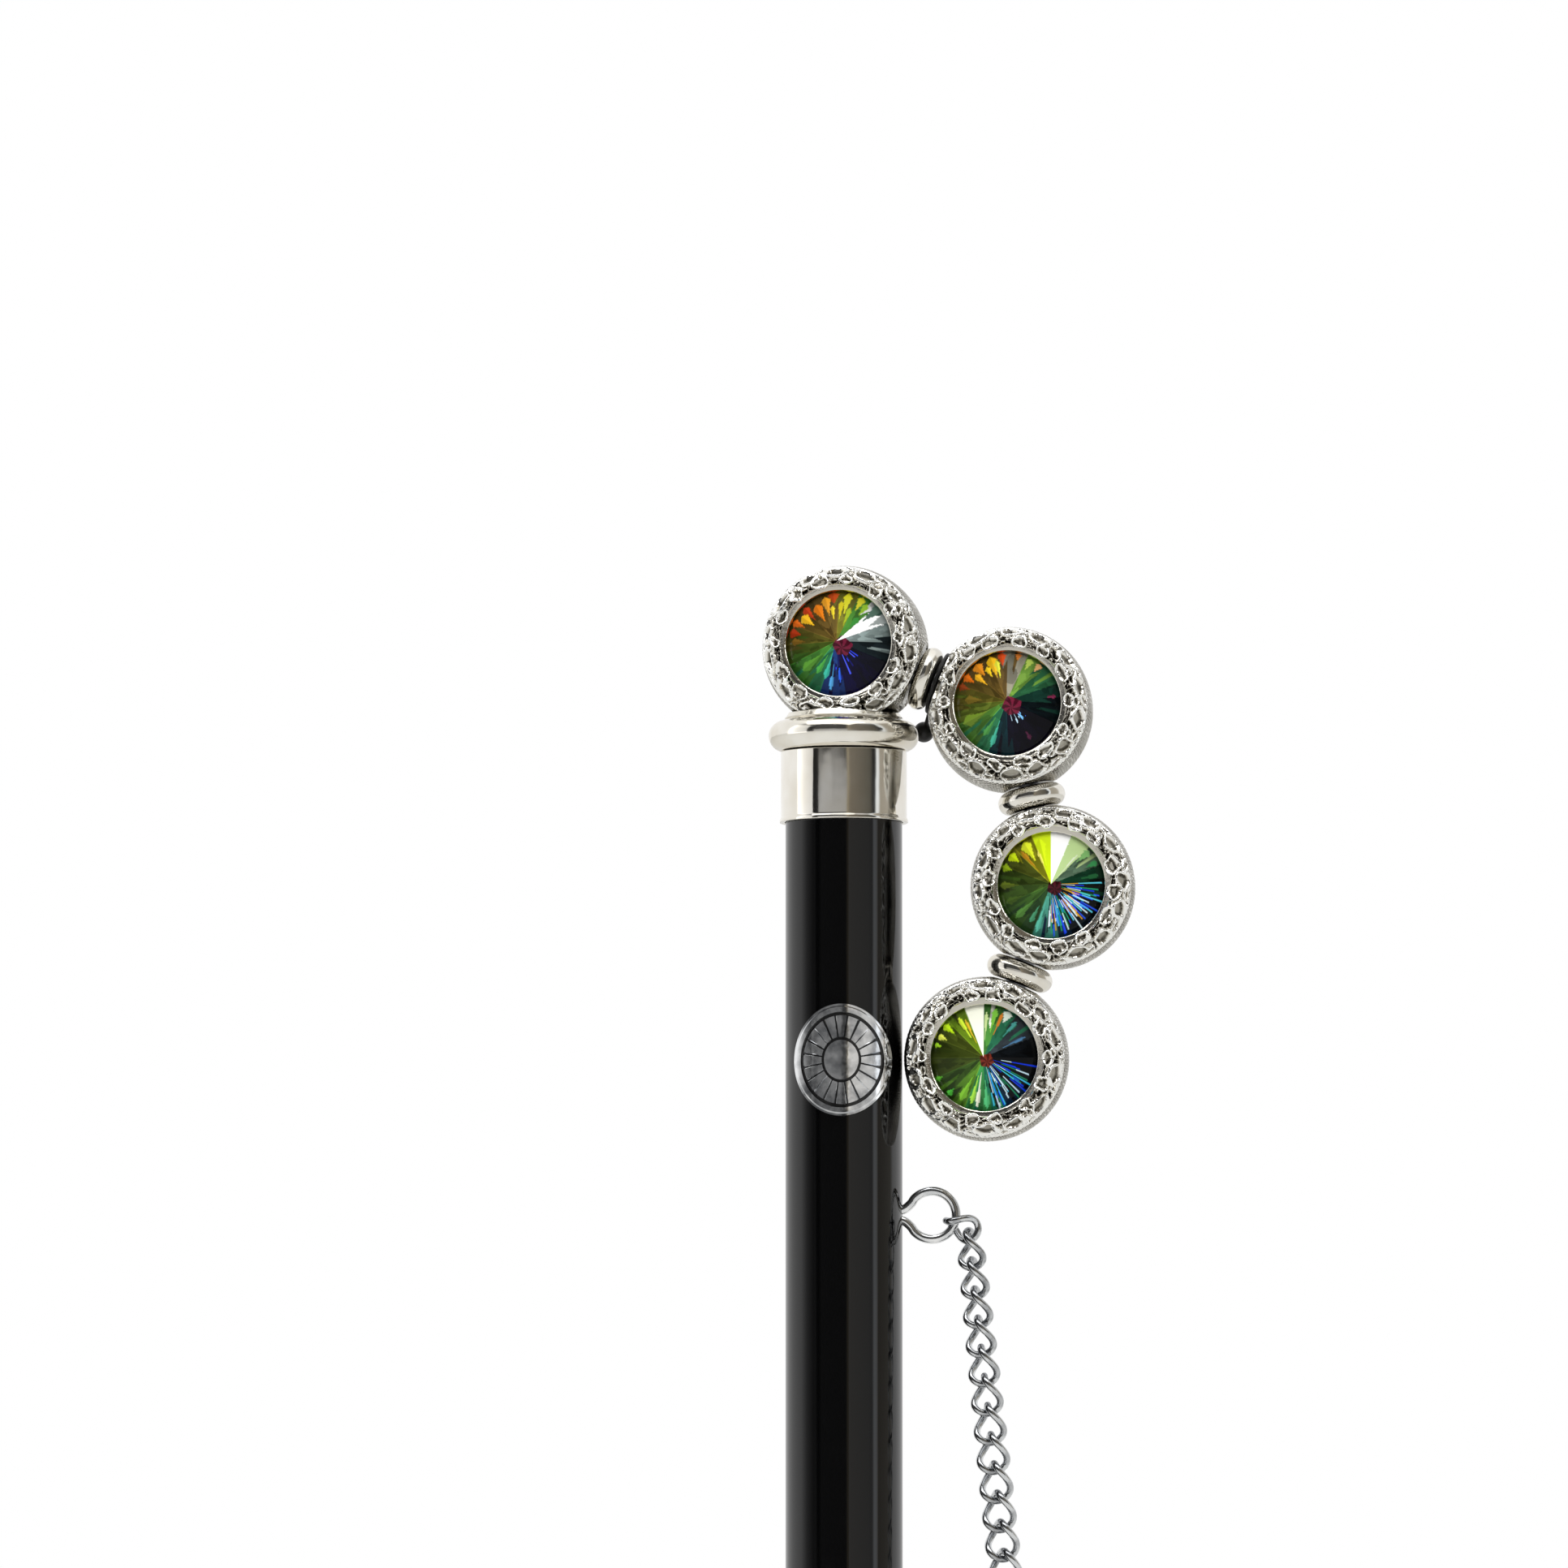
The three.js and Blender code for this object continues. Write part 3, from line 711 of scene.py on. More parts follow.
def shell(index):
    """The cup of a bead: milled sides and a turned flat back."""
    ys = np.linspace(JOINT, BACK, 84)
    outer = np.array(list(zip(bead_radius(ys), ys)))
    rim = outer[-1][0]
    sunk = BACK - 0.14
    back = [(rim - 0.25, BACK), (3.3, BACK), (3.18, sunk), (3.0, sunk), (2.88, BACK), (0, BACK)]
    back = spaced(rounded([tuple(outer[-1])] + back, 0.05)[1:], 0.3)
    inner_y = np.linspace(CUP_FLOOR, JOINT, 10)
    inner = [(0, CUP_FLOOR)] + list(zip(bead_radius(inner_y) - WALL, inner_y))
    columns = 384
    angle = FULL_TURN * np.arange(columns) / columns
    run = length_along(outer)
    around, down = np.meshgrid(angle * GIRTH, run)
    fade = smooth(down / 0.25) * smooth((run[-1] - down) / 0.6)
    height = MILLING.cup * crosshatch(around, down) * fade - 0.01
    sides = wrapped(lifted(outer, run, height, side=-1), angle)
    rest = np.concatenate([back, np.array(inner)])
    points = np.concatenate([sides, revolve(rest, columns, "Y")])
    # The milling's grooves are darkened by their depth as painted shade; the back and the inside get
    # one middle tone.
    shade = np.concatenate([1.0 + height.ravel() / 0.09, np.full(len(rest) * columns, 0.8)])
    faces = grid_faces(len(outer) + len(rest), columns, closed=True)
    return (flatten_seats(points, index), faces), np.clip(shade, 0, 1)


# The colours of the sixteen front facets of each crystal, clockwise from twelve: partly the coating's
# own tones and partly painted light, the white and pale ones painted reflections of a lamp and the
# near-black ones painted reflections of dark surroundings.
FACETS = [
    "7a7a22 4a8a30 ffffff 8a9a98 1a2428 090a1c 0a0628 100a40 "
    "1c3a7a 2c7a50 3f7a2c 44561e 55501f 5a4a20 5e4a22 6a5620",
    "9c9884 6e9a3c 2f6a44 14382e 0a1418 06050f 080516 0c0a1c "
    "0e3038 2f7a50 4a7a2c 5c6a26 5a5420 54461e 5e4a20 6a5220",
    "ffffff b6d090 56705a 123a26 06120c 040a0a 04121c 0a2a44 "
    "4a9a86 2a4a24 3a5e22 3a541c 344418 48501a 8a8a1c cfe81c",
    "4c8c3c 2f7a58 343c42 0c1014 05070a 060a12 0a2a44 1f7a5a "
    "3f9a50 5a8a2a 35501c 3a4818 404c1a 4a561c 6a8a1e fdffee",
]
# Slivers of colour, mostly painted sparkles of light, each a thin triangle that points at the middle:
# its hour and half width in hours, where it starts and ends on the way out, and its colour.
SLIVERS = [
    [
        (10.95, 0.32, 0.45, 0.86, "e8801c"), (10.5, 0.22, 0.62, 0.97, "c8401a"),
        (10.2, 0.3, 0.55, 0.88, "f8c028"), (9.85, 0.2, 0.7, 0.98, "e06a1c"),
        (9.45, 0.26, 0.72, 0.97, "a83414"), (9.1, 0.2, 0.62, 0.9, "7a5a20"),
        (11.4, 0.26, 0.52, 0.93, "f0a428"), (11.65, 0.16, 0.4, 0.72, "f4dc30"),
        (11.75, 0.3, 0.74, 0.98, "c04a18"), (12.1, 0.18, 0.42, 0.8, "f0e020"),
        (12.35, 0.22, 0.5, 0.97, "f4f030"), (12.6, 0.2, 0.3, 0.7, "b8d428"),
        (12.9, 0.2, 0.66, 0.97, "e8e030"), (13.2, 0.18, 0.6, 0.9, "9ccc30"),
        (13.3, 0.3, 0.3, 0.6, "3f9a3c"), (6.7, 0.22, 0.2, 0.72, "3fc0a8"),
        (7.2, 0.22, 0.25, 0.7, "4fae4a"), (7.8, 0.3, 0.3, 0.85, "5a9a34"),
        (6.35, 0.12, 0.3, 0.9, "58b0f0"), (5.9, 0.1, 0.25, 0.75, "2c64f0"),
        (8.4, 0.25, 0.5, 0.95, "33521c"), (13.62, 0.5, 0.56, 1.5, "5c7a6c"),
        (14.05, 0.6, 0.62, 1.6, "a8b0ae"), (13.8, 0.3, 0.8, 1.6, "3c5c50"),
    ],
    [
        (10.1, 0.22, 0.72, 0.98, "e07018"), (10.4, 0.22, 0.5, 0.82, "f0b428"),
        (10.7, 0.3, 0.66, 0.97, "e89020"), (11.0, 0.18, 0.55, 0.8, "f8d028"),
        (11.3, 0.3, 0.5, 0.96, "f6c01c"), (11.5, 0.16, 0.45, 0.86, "f0f040"),
        (11.75, 0.22, 0.7, 0.98, "d84c18"), (12.4, 0.16, 0.82, 0.98, "e08030"),
        (12.9, 0.18, 0.7, 0.95, "c0dc60"), (13.3, 0.18, 0.76, 0.96, "f0b878"),
        (13.0, 0.3, 0.2, 0.66, "88b44c"), (6.7, 0.16, 0.35, 0.86, "48b89c"),
        (7.2, 0.2, 0.3, 0.75, "4f9a4a"), (8.2, 0.35, 0.35, 0.9, "6e8a2c"),
        (9.2, 0.3, 0.45, 0.8, "746224"), (9.7, 0.2, 0.75, 0.98, "883c18"),
        (2.7, 0.1, 0.7, 0.9, "7a2848"), (4.9, 0.12, 0.6, 0.8, "50203c"),
    ],
    [
        (10.2, 0.26, 0.72, 0.97, "c8e018"), (10.6, 0.14, 0.3, 0.85, "c08a20"),
        (10.9, 0.3, 0.5, 0.96, "e4f030"), (11.3, 0.14, 0.3, 0.7, "fff870"),
        (11.5, 0.3, 0.3, 0.9, "e0fa20"), (9.7, 0.22, 0.78, 0.97, "8aa818"),
        (13.35, 0.07, 0.1, 0.75, "f4ffe0"), (13.6, 0.2, 0.62, 0.95, "8cc878"),
        (14.1, 0.16, 0.7, 0.95, "3f9a58"), (14.6, 0.14, 0.5, 0.9, "28683c"),
        (6.6, 0.16, 0.3, 0.92, "5cc0a8"), (7.0, 0.16, 0.4, 0.8, "4a9a70"),
        (7.6, 0.22, 0.35, 0.9, "54883a"), (8.3, 0.2, 0.5, 0.9, "405a1c"),
        (9.0, 0.2, 0.6, 0.95, "5a6a20"),
    ],
    [
        (10.3, 0.2, 0.7, 0.97, "c4f020"), (9.85, 0.16, 0.75, 0.95, "f0f860"),
        (10.9, 0.14, 0.35, 0.9, "dcf840"), (9.5, 0.12, 0.8, 0.96, "a0d828"),
        (11.1, 0.1, 0.25, 0.8, "e8c030"), (12.1, 0.12, 0.3, 0.85, "e8ffb0"),
        (12.45, 0.16, 0.4, 0.95, "8ad84c"), (12.75, 0.12, 0.45, 0.9, "e88a30"),
        (12.95, 0.24, 0.72, 0.97, "f0fff0"), (13.4, 0.12, 0.5, 0.9, "50a8a0"),
        (6.3, 0.12, 0.15, 0.95, "fcffe8"), (6.55, 0.14, 0.3, 0.9, "b0f050"),
        (5.9, 0.16, 0.4, 0.95, "58c880"), (5.4, 0.12, 0.45, 0.95, "e8fff8"),
        (7.0, 0.22, 0.35, 0.92, "84c838"), (8.2, 0.14, 0.85, 0.97, "58b030"),
        (7.5, 0.16, 0.8, 0.96, "50c040"), (2.1, 0.1, 0.35, 0.85, "4a78a0"),
    ],
]
# Fine rays from the middle, painted streaks of split light: hours, colours, how many, and how far out
# they start and end.
RAYS = [
    (4.0, 6.6, "2a40e0 4c5cf8 0a0a28 090820 14186a 0c0820 0a0a28", 30, (0.22, 0.72)),
    (3.6, 5.6, "3c70f8 80c8ff 0a0c20 0a0818 0a0818 c8e8ff", 26, (0.18, 0.46)),
    (2.9, 6.2, "60d8f0 1438f0 08141c 20a070 e0f8ff 061018 2458f8 061018 d8a030", 84, (0.16, 1.0)),
    (3.3, 5.7, "40c8f0 0a38e8 06080c 208a60 06080c 060810 d0f0ff 06080c", 60, (0.12, 1.05)),
]
CENTRES = [("6a1c34", 0.19), ("701e36", 0.19), ("46101c", 0.15), ("742a1c", 0.14)]


def palette(text):
    return np.array([srgb(c) for c in text.split()])


def crystal(index):
    """A cut stone: sixteen flat facets to a low point in front, a girdle and a cone behind. Its point
    colours hold the coating's tones together with painted light.
    """
    rng = np.random.default_rng(70 + index)
    facets = CRYSTAL.facets
    per_facet, rings = 16, 72
    columns = facets * per_facet
    angle = FULL_TURN * np.arange(columns) / columns
    half = math.pi / facets
    within = (angle % (2 * half)) - half
    edge = CRYSTAL.radius * math.cos(half) / np.cos(within)
    t = np.linspace(0, 1, rings + 1)
    radius = np.outer(t, edge)
    level = CRYSTAL.front + (CRYSTAL.girdle - CRYSTAL.front) * t[:, None] * np.ones(columns)
    front = np.stack([radius * np.sin(angle), level, radius * np.cos(angle)], -1).reshape(-1, 3)
    behind = []
    for share, y in [(1.0, CRYSTAL.girdle_back), (0.0, CRYSTAL.back)]:
        flat = np.full(columns, y)
        behind.append(np.stack([share * edge * np.sin(angle), flat, share * edge * np.cos(angle)], -1))
    points = np.concatenate([front] + behind)
    solid = (points, grid_faces(rings + 3, columns))

    x, z = points[:, 0] / CRYSTAL.radius, points[:, 2] / CRYSTAL.radius
    far = np.hypot(x, z)
    turn = np.arctan2(x, z) % FULL_TURN
    hour = turn / FULL_TURN * 12

    wedge = turn / (2 * half)
    saw = np.abs((wedge * 2) % 2 - 1)
    jag = np.where(far > 0.55 + 0.3 * saw, 0.55, 0.0) * np.where(np.floor(wedge) % 2 > 0, 1, -1)
    number = np.floor(wedge + jag * (np.floor(wedge * 3) % 2 > 0)).astype(int) % facets
    straight = np.floor(wedge).astype(int) % facets
    colours = palette(FACETS[index])
    # Facets bright enough are kept one flat colour: these are painted highlights, the white ones
    # painted reflections of a lamp.
    plain = colours.max(1)[straight] > 0.6
    paint = colours[np.where(plain, straight, number)]

    # Each splinter of the far facets is a little lighter or darker than the next, and all grow darker
    # towards the rim as a painted shadow of the bezel. Thin lines along the seams of the later facets
    # are lightened as painted glints, and every facet but the bright ones is dimmed.
    seeds = 260
    where = np.sqrt(rng.uniform(0.02, 1.05, seeds))
    swing = rng.uniform(0, FULL_TURN, seeds)
    sx, sz = where * np.sin(swing), where * np.cos(swing)
    along = np.stack([np.sin(swing), np.cos(swing)], 1)
    dx, dz = x[:, None] - sx, z[:, None] - sz
    radial = dx * along[:, 0] + dz * along[:, 1]
    sideways = dx * along[:, 1] - dz * along[:, 0]
    cell = np.argmin((radial * 0.36) ** 2 + sideways ** 2, axis=1)
    tone = rng.uniform(0.62, 1.4, seeds)
    shade = np.where(plain | (far < 0.16), 1.0, tone[cell] * (1.25 - 0.75 * far ** 1.6))
    seam_glint = np.minimum(wedge % 1, 1 - wedge % 1) * far < 0.022
    shade = np.where(seam_glint & ~plain & (straight > 8), shade * 1.5, shade)
    paint = paint * shade[:, None]
    paint = np.where(plain[:, None], paint, 0.75 * paint)

    for middle, half_width, near, out, text in SLIVERS[index]:
        aside = np.abs((hour - middle + 6) % 12 - 6)
        reach = (far - near) / (out - near)
        blunt = np.minimum(reach, 4 * (1 - reach))
        inside = (reach > 0) & (reach < 1) & (aside < half_width * blunt)
        # One half of each sliver is painted darker, as the shaded side of a lit facet.
        lit_and_shaded_halves = np.where(hour > middle, 1.0, 0.72)
        paint = np.where(inside[:, None], np.array(srgb(text)) * lit_and_shaded_halves[:, None], paint)

    first, last, text, count, (near, out) = RAYS[index]
    streaks = palette(text)
    share = ((hour - first) % 12) / (last - first)
    inside = share < 1
    slot_number = np.floor(np.clip(share, 0, 0.999) * count).astype(int)
    begins = near + rng.uniform(0, 0.25, count)
    ends = out * rng.uniform(0.5, 1.0, count)
    inner_part = rng.integers(0, len(streaks), count)
    outer_part = rng.integers(0, len(streaks), count)
    bend = rng.uniform(0.4, 0.8, count)
    lit = inside & (far > begins[slot_number]) & (far < ends[slot_number]) & ~plain
    kind = np.where(far < bend[slot_number], inner_part[slot_number], outer_part[slot_number])
    paint = np.where(lit[:, None], streaks[kind], paint)

    colour, size = CENTRES[index]
    sides = 5
    cx, cz = x - 0.45 * size, z + 0.6 * size
    spin = np.arctan2(cx, cz) + 0.3 * index
    reach = size * math.cos(math.pi / sides) / np.cos((spin % (FULL_TURN / sides)) - math.pi / sides)
    reach *= 1 + 0.22 * np.sin(spin + 1.1)
    heart = (np.hypot(cx, cz) < reach) & ~(plain & (z > 0))
    heart_tone = 0.35 + 0.7 * (np.floor(spin * 1.9 + 5 * np.hypot(cx, cz)) % 2)
    paint = np.where(heart[:, None], np.array(srgb(colour)) * heart_tone[:, None], paint)
    paint = np.column_stack([np.clip(paint, 0, 1), np.ones(len(paint))])
    return solid, paint


cast_ring_pieces = []
for index in range(len(BEADS)):
    place = bead_matrix(index)
    name = f"bead_{index + 1}"
    cup, cup_shade = shell(index)
    add_piece(f"{name}_cup", cup, cast_silver, "silver_plate", [f"{name}_shell"], place=place,
              values={"relief_shade": cup_shade, "floor": np.zeros(len(cup_shade))})
    coral, coral_marks = bezel(index)
    cast_ring_pieces.append(add_piece(f"{name}_cast_ring", coral, cast_silver, "silver_plate",
                                      [f"{name}_bezel"], place=place, values=coral_marks))
    stone, stone_paint = crystal(index)
    add_piece(f"{name}_stone", stone, glass, "cut_crystal", [f"{name}_crystal"], place=place, sharp=4,
              values={"facet_colour_and_light": stone_paint})

# ------------------------------------------------------------------ spacers and washer


def half_circle(middle, radius):
    """The outer half of a circle at a distance from the axis, as [radius, height] points."""
    swing = np.linspace(-math.pi / 2, math.pi / 2, 25)
    return [(middle + radius * math.cos(a), radius * math.sin(a)) for a in swing]


def rimmed_disc(hole, rim, thick, columns=96):
    """A ring with a hole and a rounded rim, about Y."""
    half = thick / 2
    profile = np.array([(hole, -half)] + half_circle(rim, half) + [(hole, half)])
    return revolve(profile, columns, "Y"), grid_faces(len(profile), columns, closed=True)


def washer_lug(place):
    """The bulb beside the washer and the neck that joins it to the rim, in the washer's frame."""
    bulb = np.array(place.inverted() @ (Vector(LUG.place) * MM)) / MM
    rim_point = bulb * [1, 0, 1]
    rim_point *= LUG.start / np.linalg.norm(rim_point)
    neck = tube(np.linspace(rim_point, bulb, 8), LUG.neck, 16, closed=False)
    profile = np.array(half_circle(0, LUG.radius))
    ball = revolve(profile, 48) + bulb
    return joined(neck, (ball, grid_faces(len(profile), 48)))


for index, link in enumerate(crook_links):
    turn = Vector((0, 1, 0)).rotation_difference(link.way).to_matrix()
    middle = link.seat + SPACER.gap + link.thick / 2
    disc = rimmed_disc(SPACER.hole, SPACER.rim, link.thick)
    place = place_at(link.start + link.way * middle, turn)
    add_piece(f"spacer_ring_{index + 1}", disc, silver, "silver_plate", [f"rondelle_{index + 1}"],
              place=place, sharp=50)
    if index == 0:
        beyond = middle + link.thick / 2 + SPACER.gap + WASHER.thick / 2
        rim = WASHER.radius - WASHER.thick / 2
        seal = rimmed_disc(SPACER.hole, rim, WASHER.thick)
        place = place_at(link.start + link.way * beyond, turn)
        add_piece("rubber_neck_washer", joined(seal, washer_lug(place)), rubber, "black_rubber",
                  ["neck_washer"], place=place, sharp=50)

# ------------------------------------------------------------------ badge


BADGE_LINE_DEPTH = 0.1


def polygon_middle(mesh, polygon):
    corners = [mesh.vertices[v].co for v in polygon.vertices]
    return sum(corners, Vector()) / len(corners)


def badge():
    """A generic oval plate bent round the stick: a plain rim, a fluted band and a smooth boss,
    parted by black lines."""
    rings, columns = 96, 256
    boss, band_start, band_end, rim_start = 0.36, 0.4, 0.8, 0.85
    share = np.linspace(0, 1, rings + 1)
    angle = FULL_TURN * np.arange(columns) / columns
    s, a = np.meshgrid(share, angle, indexing="ij")
    flutes = np.abs(np.cos(a * 10))
    lines = ((s > band_end) & (s < rim_start)) | ((s > boss) & (s < band_start))
    lines |= (s > band_start) & (s < band_end) & (flutes < 0.22)
    crown = np.where(s < boss, 0.0, -0.02) - 0.03 * (s > 0.95)
    radius = BADGE.outer - BADGE_LINE_DEPTH * lines + crown
    across = BADGE.x + BADGE.half_width * s * np.sin(a)
    up = BADGE.z + BADGE.half_height * s * np.cos(a)

    def bent(reach):
        side = np.clip(across, -0.999 * reach, 0.999 * reach)
        return np.stack([side, -np.sqrt(reach ** 2 - side ** 2), up], -1)

    front = bent(radius)
    back = bent(np.full_like(radius, BADGE.inner))[::-1]
    points = np.concatenate([front.reshape(-1, 3), back.reshape(-1, 3)])
    return points, grid_faces(2 * (rings + 1), columns)


badge_piece = add_piece("oval_badge", badge(), [chrome, enamel], "bright_chrome", ["badge_plate"],
                        sharp=35)
for polygon in badge_piece.data.polygons:
    x, y, _ = polygon_middle(badge_piece.data, polygon) / MM
    sunk = BADGE.inner + 0.1 < math.hypot(x, y) < BADGE.outer - 0.75 * BADGE_LINE_DEPTH
    polygon.material_index = 1 if sunk else 0

# ------------------------------------------------------------------ screw eye


def catmull(points, steps):
    """A smooth line through points."""
    points = np.array(points, float)
    padded = np.concatenate([[2 * points[0] - points[1]], points, [2 * points[-1] - points[-2]]])
    out = []
    for a, b, c, d in zip(padded[:-3], padded[1:-2], padded[2:-1], padded[3:]):
        for u in np.arange(steps) / steps:
            out.append(0.5 * (2 * b + (c - a) * u + (2 * a - 5 * b + 4 * c - d) * u ** 2
                              + (3 * b - a - 3 * c + d) * u ** 3))
    out.append(points[-1])
    return np.array(out)


def split_eye():
    """One wire bent to an open ring, whose two ends run side by side into the stick."""
    x, z, ring, leg = EYE.x, EYE.z, EYE.ring, EYE.leg
    swing = [math.radians(d) for d in range(152, -153, -16)]
    loop = [(x + ring * math.cos(a), 0, z + ring * math.sin(a)) for a in swing]
    top = [(EYE.shank_end, 0, z + leg), (EYE.leg_end, 0, z + leg), (EYE.bend, 0, z + 1.1 * leg)]
    bottom = [(along, 0, 2 * z - up) for along, _, up in reversed(top)]
    return tube(catmull(top + loop + bottom, 8), EYE.wire, 20, closed=False)


add_piece("split_wire_eye", split_eye(), eye_chrome_painted_light, "bright_chrome", ["chain_eye"], sharp=60)

# ------------------------------------------------------------------ chain


def curb_link(half_length, half_width):
    """A wire link: a stadium twisted about its length."""
    count, bend = 84, 4
    angle = FULL_TURN * np.arange(count) / count
    straight = half_length - half_width
    across = half_width * np.sin(angle)
    up = half_width * np.cos(angle) + straight * np.tanh(bend * np.cos(angle))
    reach = half_width + straight * math.tanh(bend)
    turn = -math.radians(LINK.twist) * np.sin(math.pi / 2 * up / reach)
    line = np.stack([across * np.cos(turn), across * np.sin(turn), up * half_length / reach], 1)
    return tube(line, LINK.wire, 16)


slope = math.radians(JOINING.slope)
outwards = Vector((math.cos(slope), 0, -math.sin(slope)))
eye_centre = Vector((EYE.x, 0, EYE.z))
hook_step = 2 * LINK.wire + JOINING.play
inner_end = EYE.ring - EYE.wire - LINK.wire - JOINING.play
joining_turn = (Matrix.Rotation(-math.radians(90 - JOINING.slope), 3, "Y")
                @ Matrix.Rotation(-math.radians(LINK.twist), 3, "Z"))
joining_place = place_at(eye_centre + outwards * (inner_end + JOINING.half_length), joining_turn)
add_piece("wire_joining_link", curb_link(JOINING.half_length, JOINING.half_width), link_chrome_painted_shade,
          "bright_chrome", ["joining_link"], body="joining_link", place=joining_place)

chain_top = eye_centre + outwards * (inner_end + 2 * JOINING.half_length - hook_step)
chain_top += Vector((-JOINING.slack, JOINING.slack, 0))
down_way = Vector((math.sin(math.radians(LEAN)), 0, -math.cos(math.radians(LEAN))))
lean_turn = Matrix.Rotation(-math.radians(LEAN), 3, "Y")
for number in range(LINK.count):
    node = f"chain_link_{number + 1:02d}"
    spin = LINK_TURN.first + LINK_TURN.step * number
    turn = lean_turn @ Matrix.Rotation(math.radians(spin), 3, "Z")
    place = place_at(chain_top + down_way * (LINK.half_length + LINK.pitch * number), turn)
    link = curb_link(LINK.half_length, LINK.half_width)
    add_piece(f"curb_link_{number + 1:02d}", link, link_chrome_painted_shade, "bright_chrome", [node], body=node,
              place=place)


def drop():
    """The weight that ends the chain: a wire loop, a small collar and a turned pear."""
    swing = FULL_TURN * np.arange(48) / 48
    circle = DROP.loop * np.stack([np.sin(swing), 0 * swing, np.cos(swing)], 1)
    loop = tube(circle, DROP.wire, 14)
    bottom = -DROP.loop - DROP.length
    profile = [(0, bottom)]
    for t in np.linspace(0, 1, 61)[1:]:
        bulge = max(math.sin(math.pi * t ** 0.8), 0) ** 0.9
        radius = DROP.radius * bulge * (1 - 0.35 * t) + DROP.neck * t
        profile.append((radius - 0.03 * (0.52 < t < 0.56), bottom + DROP.length * t))
    profile.append((0, bottom + DROP.length))
    return joined(loop, (revolve(profile, 64), grid_faces(len(profile), 64)))


last_spin = LINK_TURN.first + LINK_TURN.step * (LINK.count - 1) - LINK.twist
last_hook = 2 * LINK.half_length + LINK.pitch * (LINK.count - 1)
drop_place = place_at(chain_top + down_way * (last_hook - hook_step + DROP.play + DROP.loop),
                      lean_turn @ Matrix.Rotation(math.radians(last_spin), 3, "Z"))
add_piece("turned_drop", drop(), link_chrome_painted_shade, "bright_chrome", ["chain_drop"], body="chain_drop",
          place=drop_place)

# ------------------------------------------------------------------ carried-over nodes

for name in ["handle_screw", "link_post_1", "link_post_2", "link_post_3"]:
    node = frame["nodes"][name]
    node.data.materials.clear()
    node.data.materials.append(steel)

# ------------------------------------------------------------------ camera

# How far the camera stands to the right of the front and above it, how wide its frame is at the
# object and how far off it stands, in metres, and the point that it looks at, in millimetres.
VIEW_RIGHT, VIEW_UP = math.radians(5), math.radians(-5)
FRAME_WIDTH, DISTANCE = 0.12075, 1.3
TARGET = (-4.625, 0, 103.25)
SENSOR = 36


def direction(azimuth, elevation):
    """The way from the object: its azimuth is turned from the front, -Y, towards +X."""
    flat = math.cos(elevation)
    return Vector((math.sin(azimuth) * flat, -math.cos(azimuth) * flat, math.sin(elevation)))


def stand(thing, target, way, distance):
    """Puts a camera or lamp off a target, and turns it to look back."""
    scene.collection.objects.link(thing)
    thing.location = target + way * distance
    thing.rotation_euler = way.to_track_quat("Z", "Y").to_euler()


camera_data = bpy.data.cameras.new("camera")
camera_data.sensor_width = SENSOR
camera_data.lens = SENSOR * DISTANCE / FRAME_WIDTH
camera_data.clip_start, camera_data.clip_end = 0.01, 20
camera = bpy.data.objects.new("camera", camera_data)
stand(camera, Vector(TARGET) * MM, direction(VIEW_RIGHT, VIEW_UP), DISTANCE)
scene.camera = camera

# ------------------------------------------------------------------ floor and studio light

floor_mesh = bpy.data.meshes.new("floor")
size, level = 4.0, cad_box[0].z - 0.0002
corners = [(-size, -size, level), (size, -size, level), (size, size, level), (-size, size, level)]
floor_mesh.from_pydata(corners, [], [(0, 1, 2, 3)])
floor = bpy.data.objects.new("floor", floor_mesh)
scene.collection.objects.link(floor)
floor_mesh.materials.append(Look("pale_floor", "f4f4f2", roughness=0.7).material)


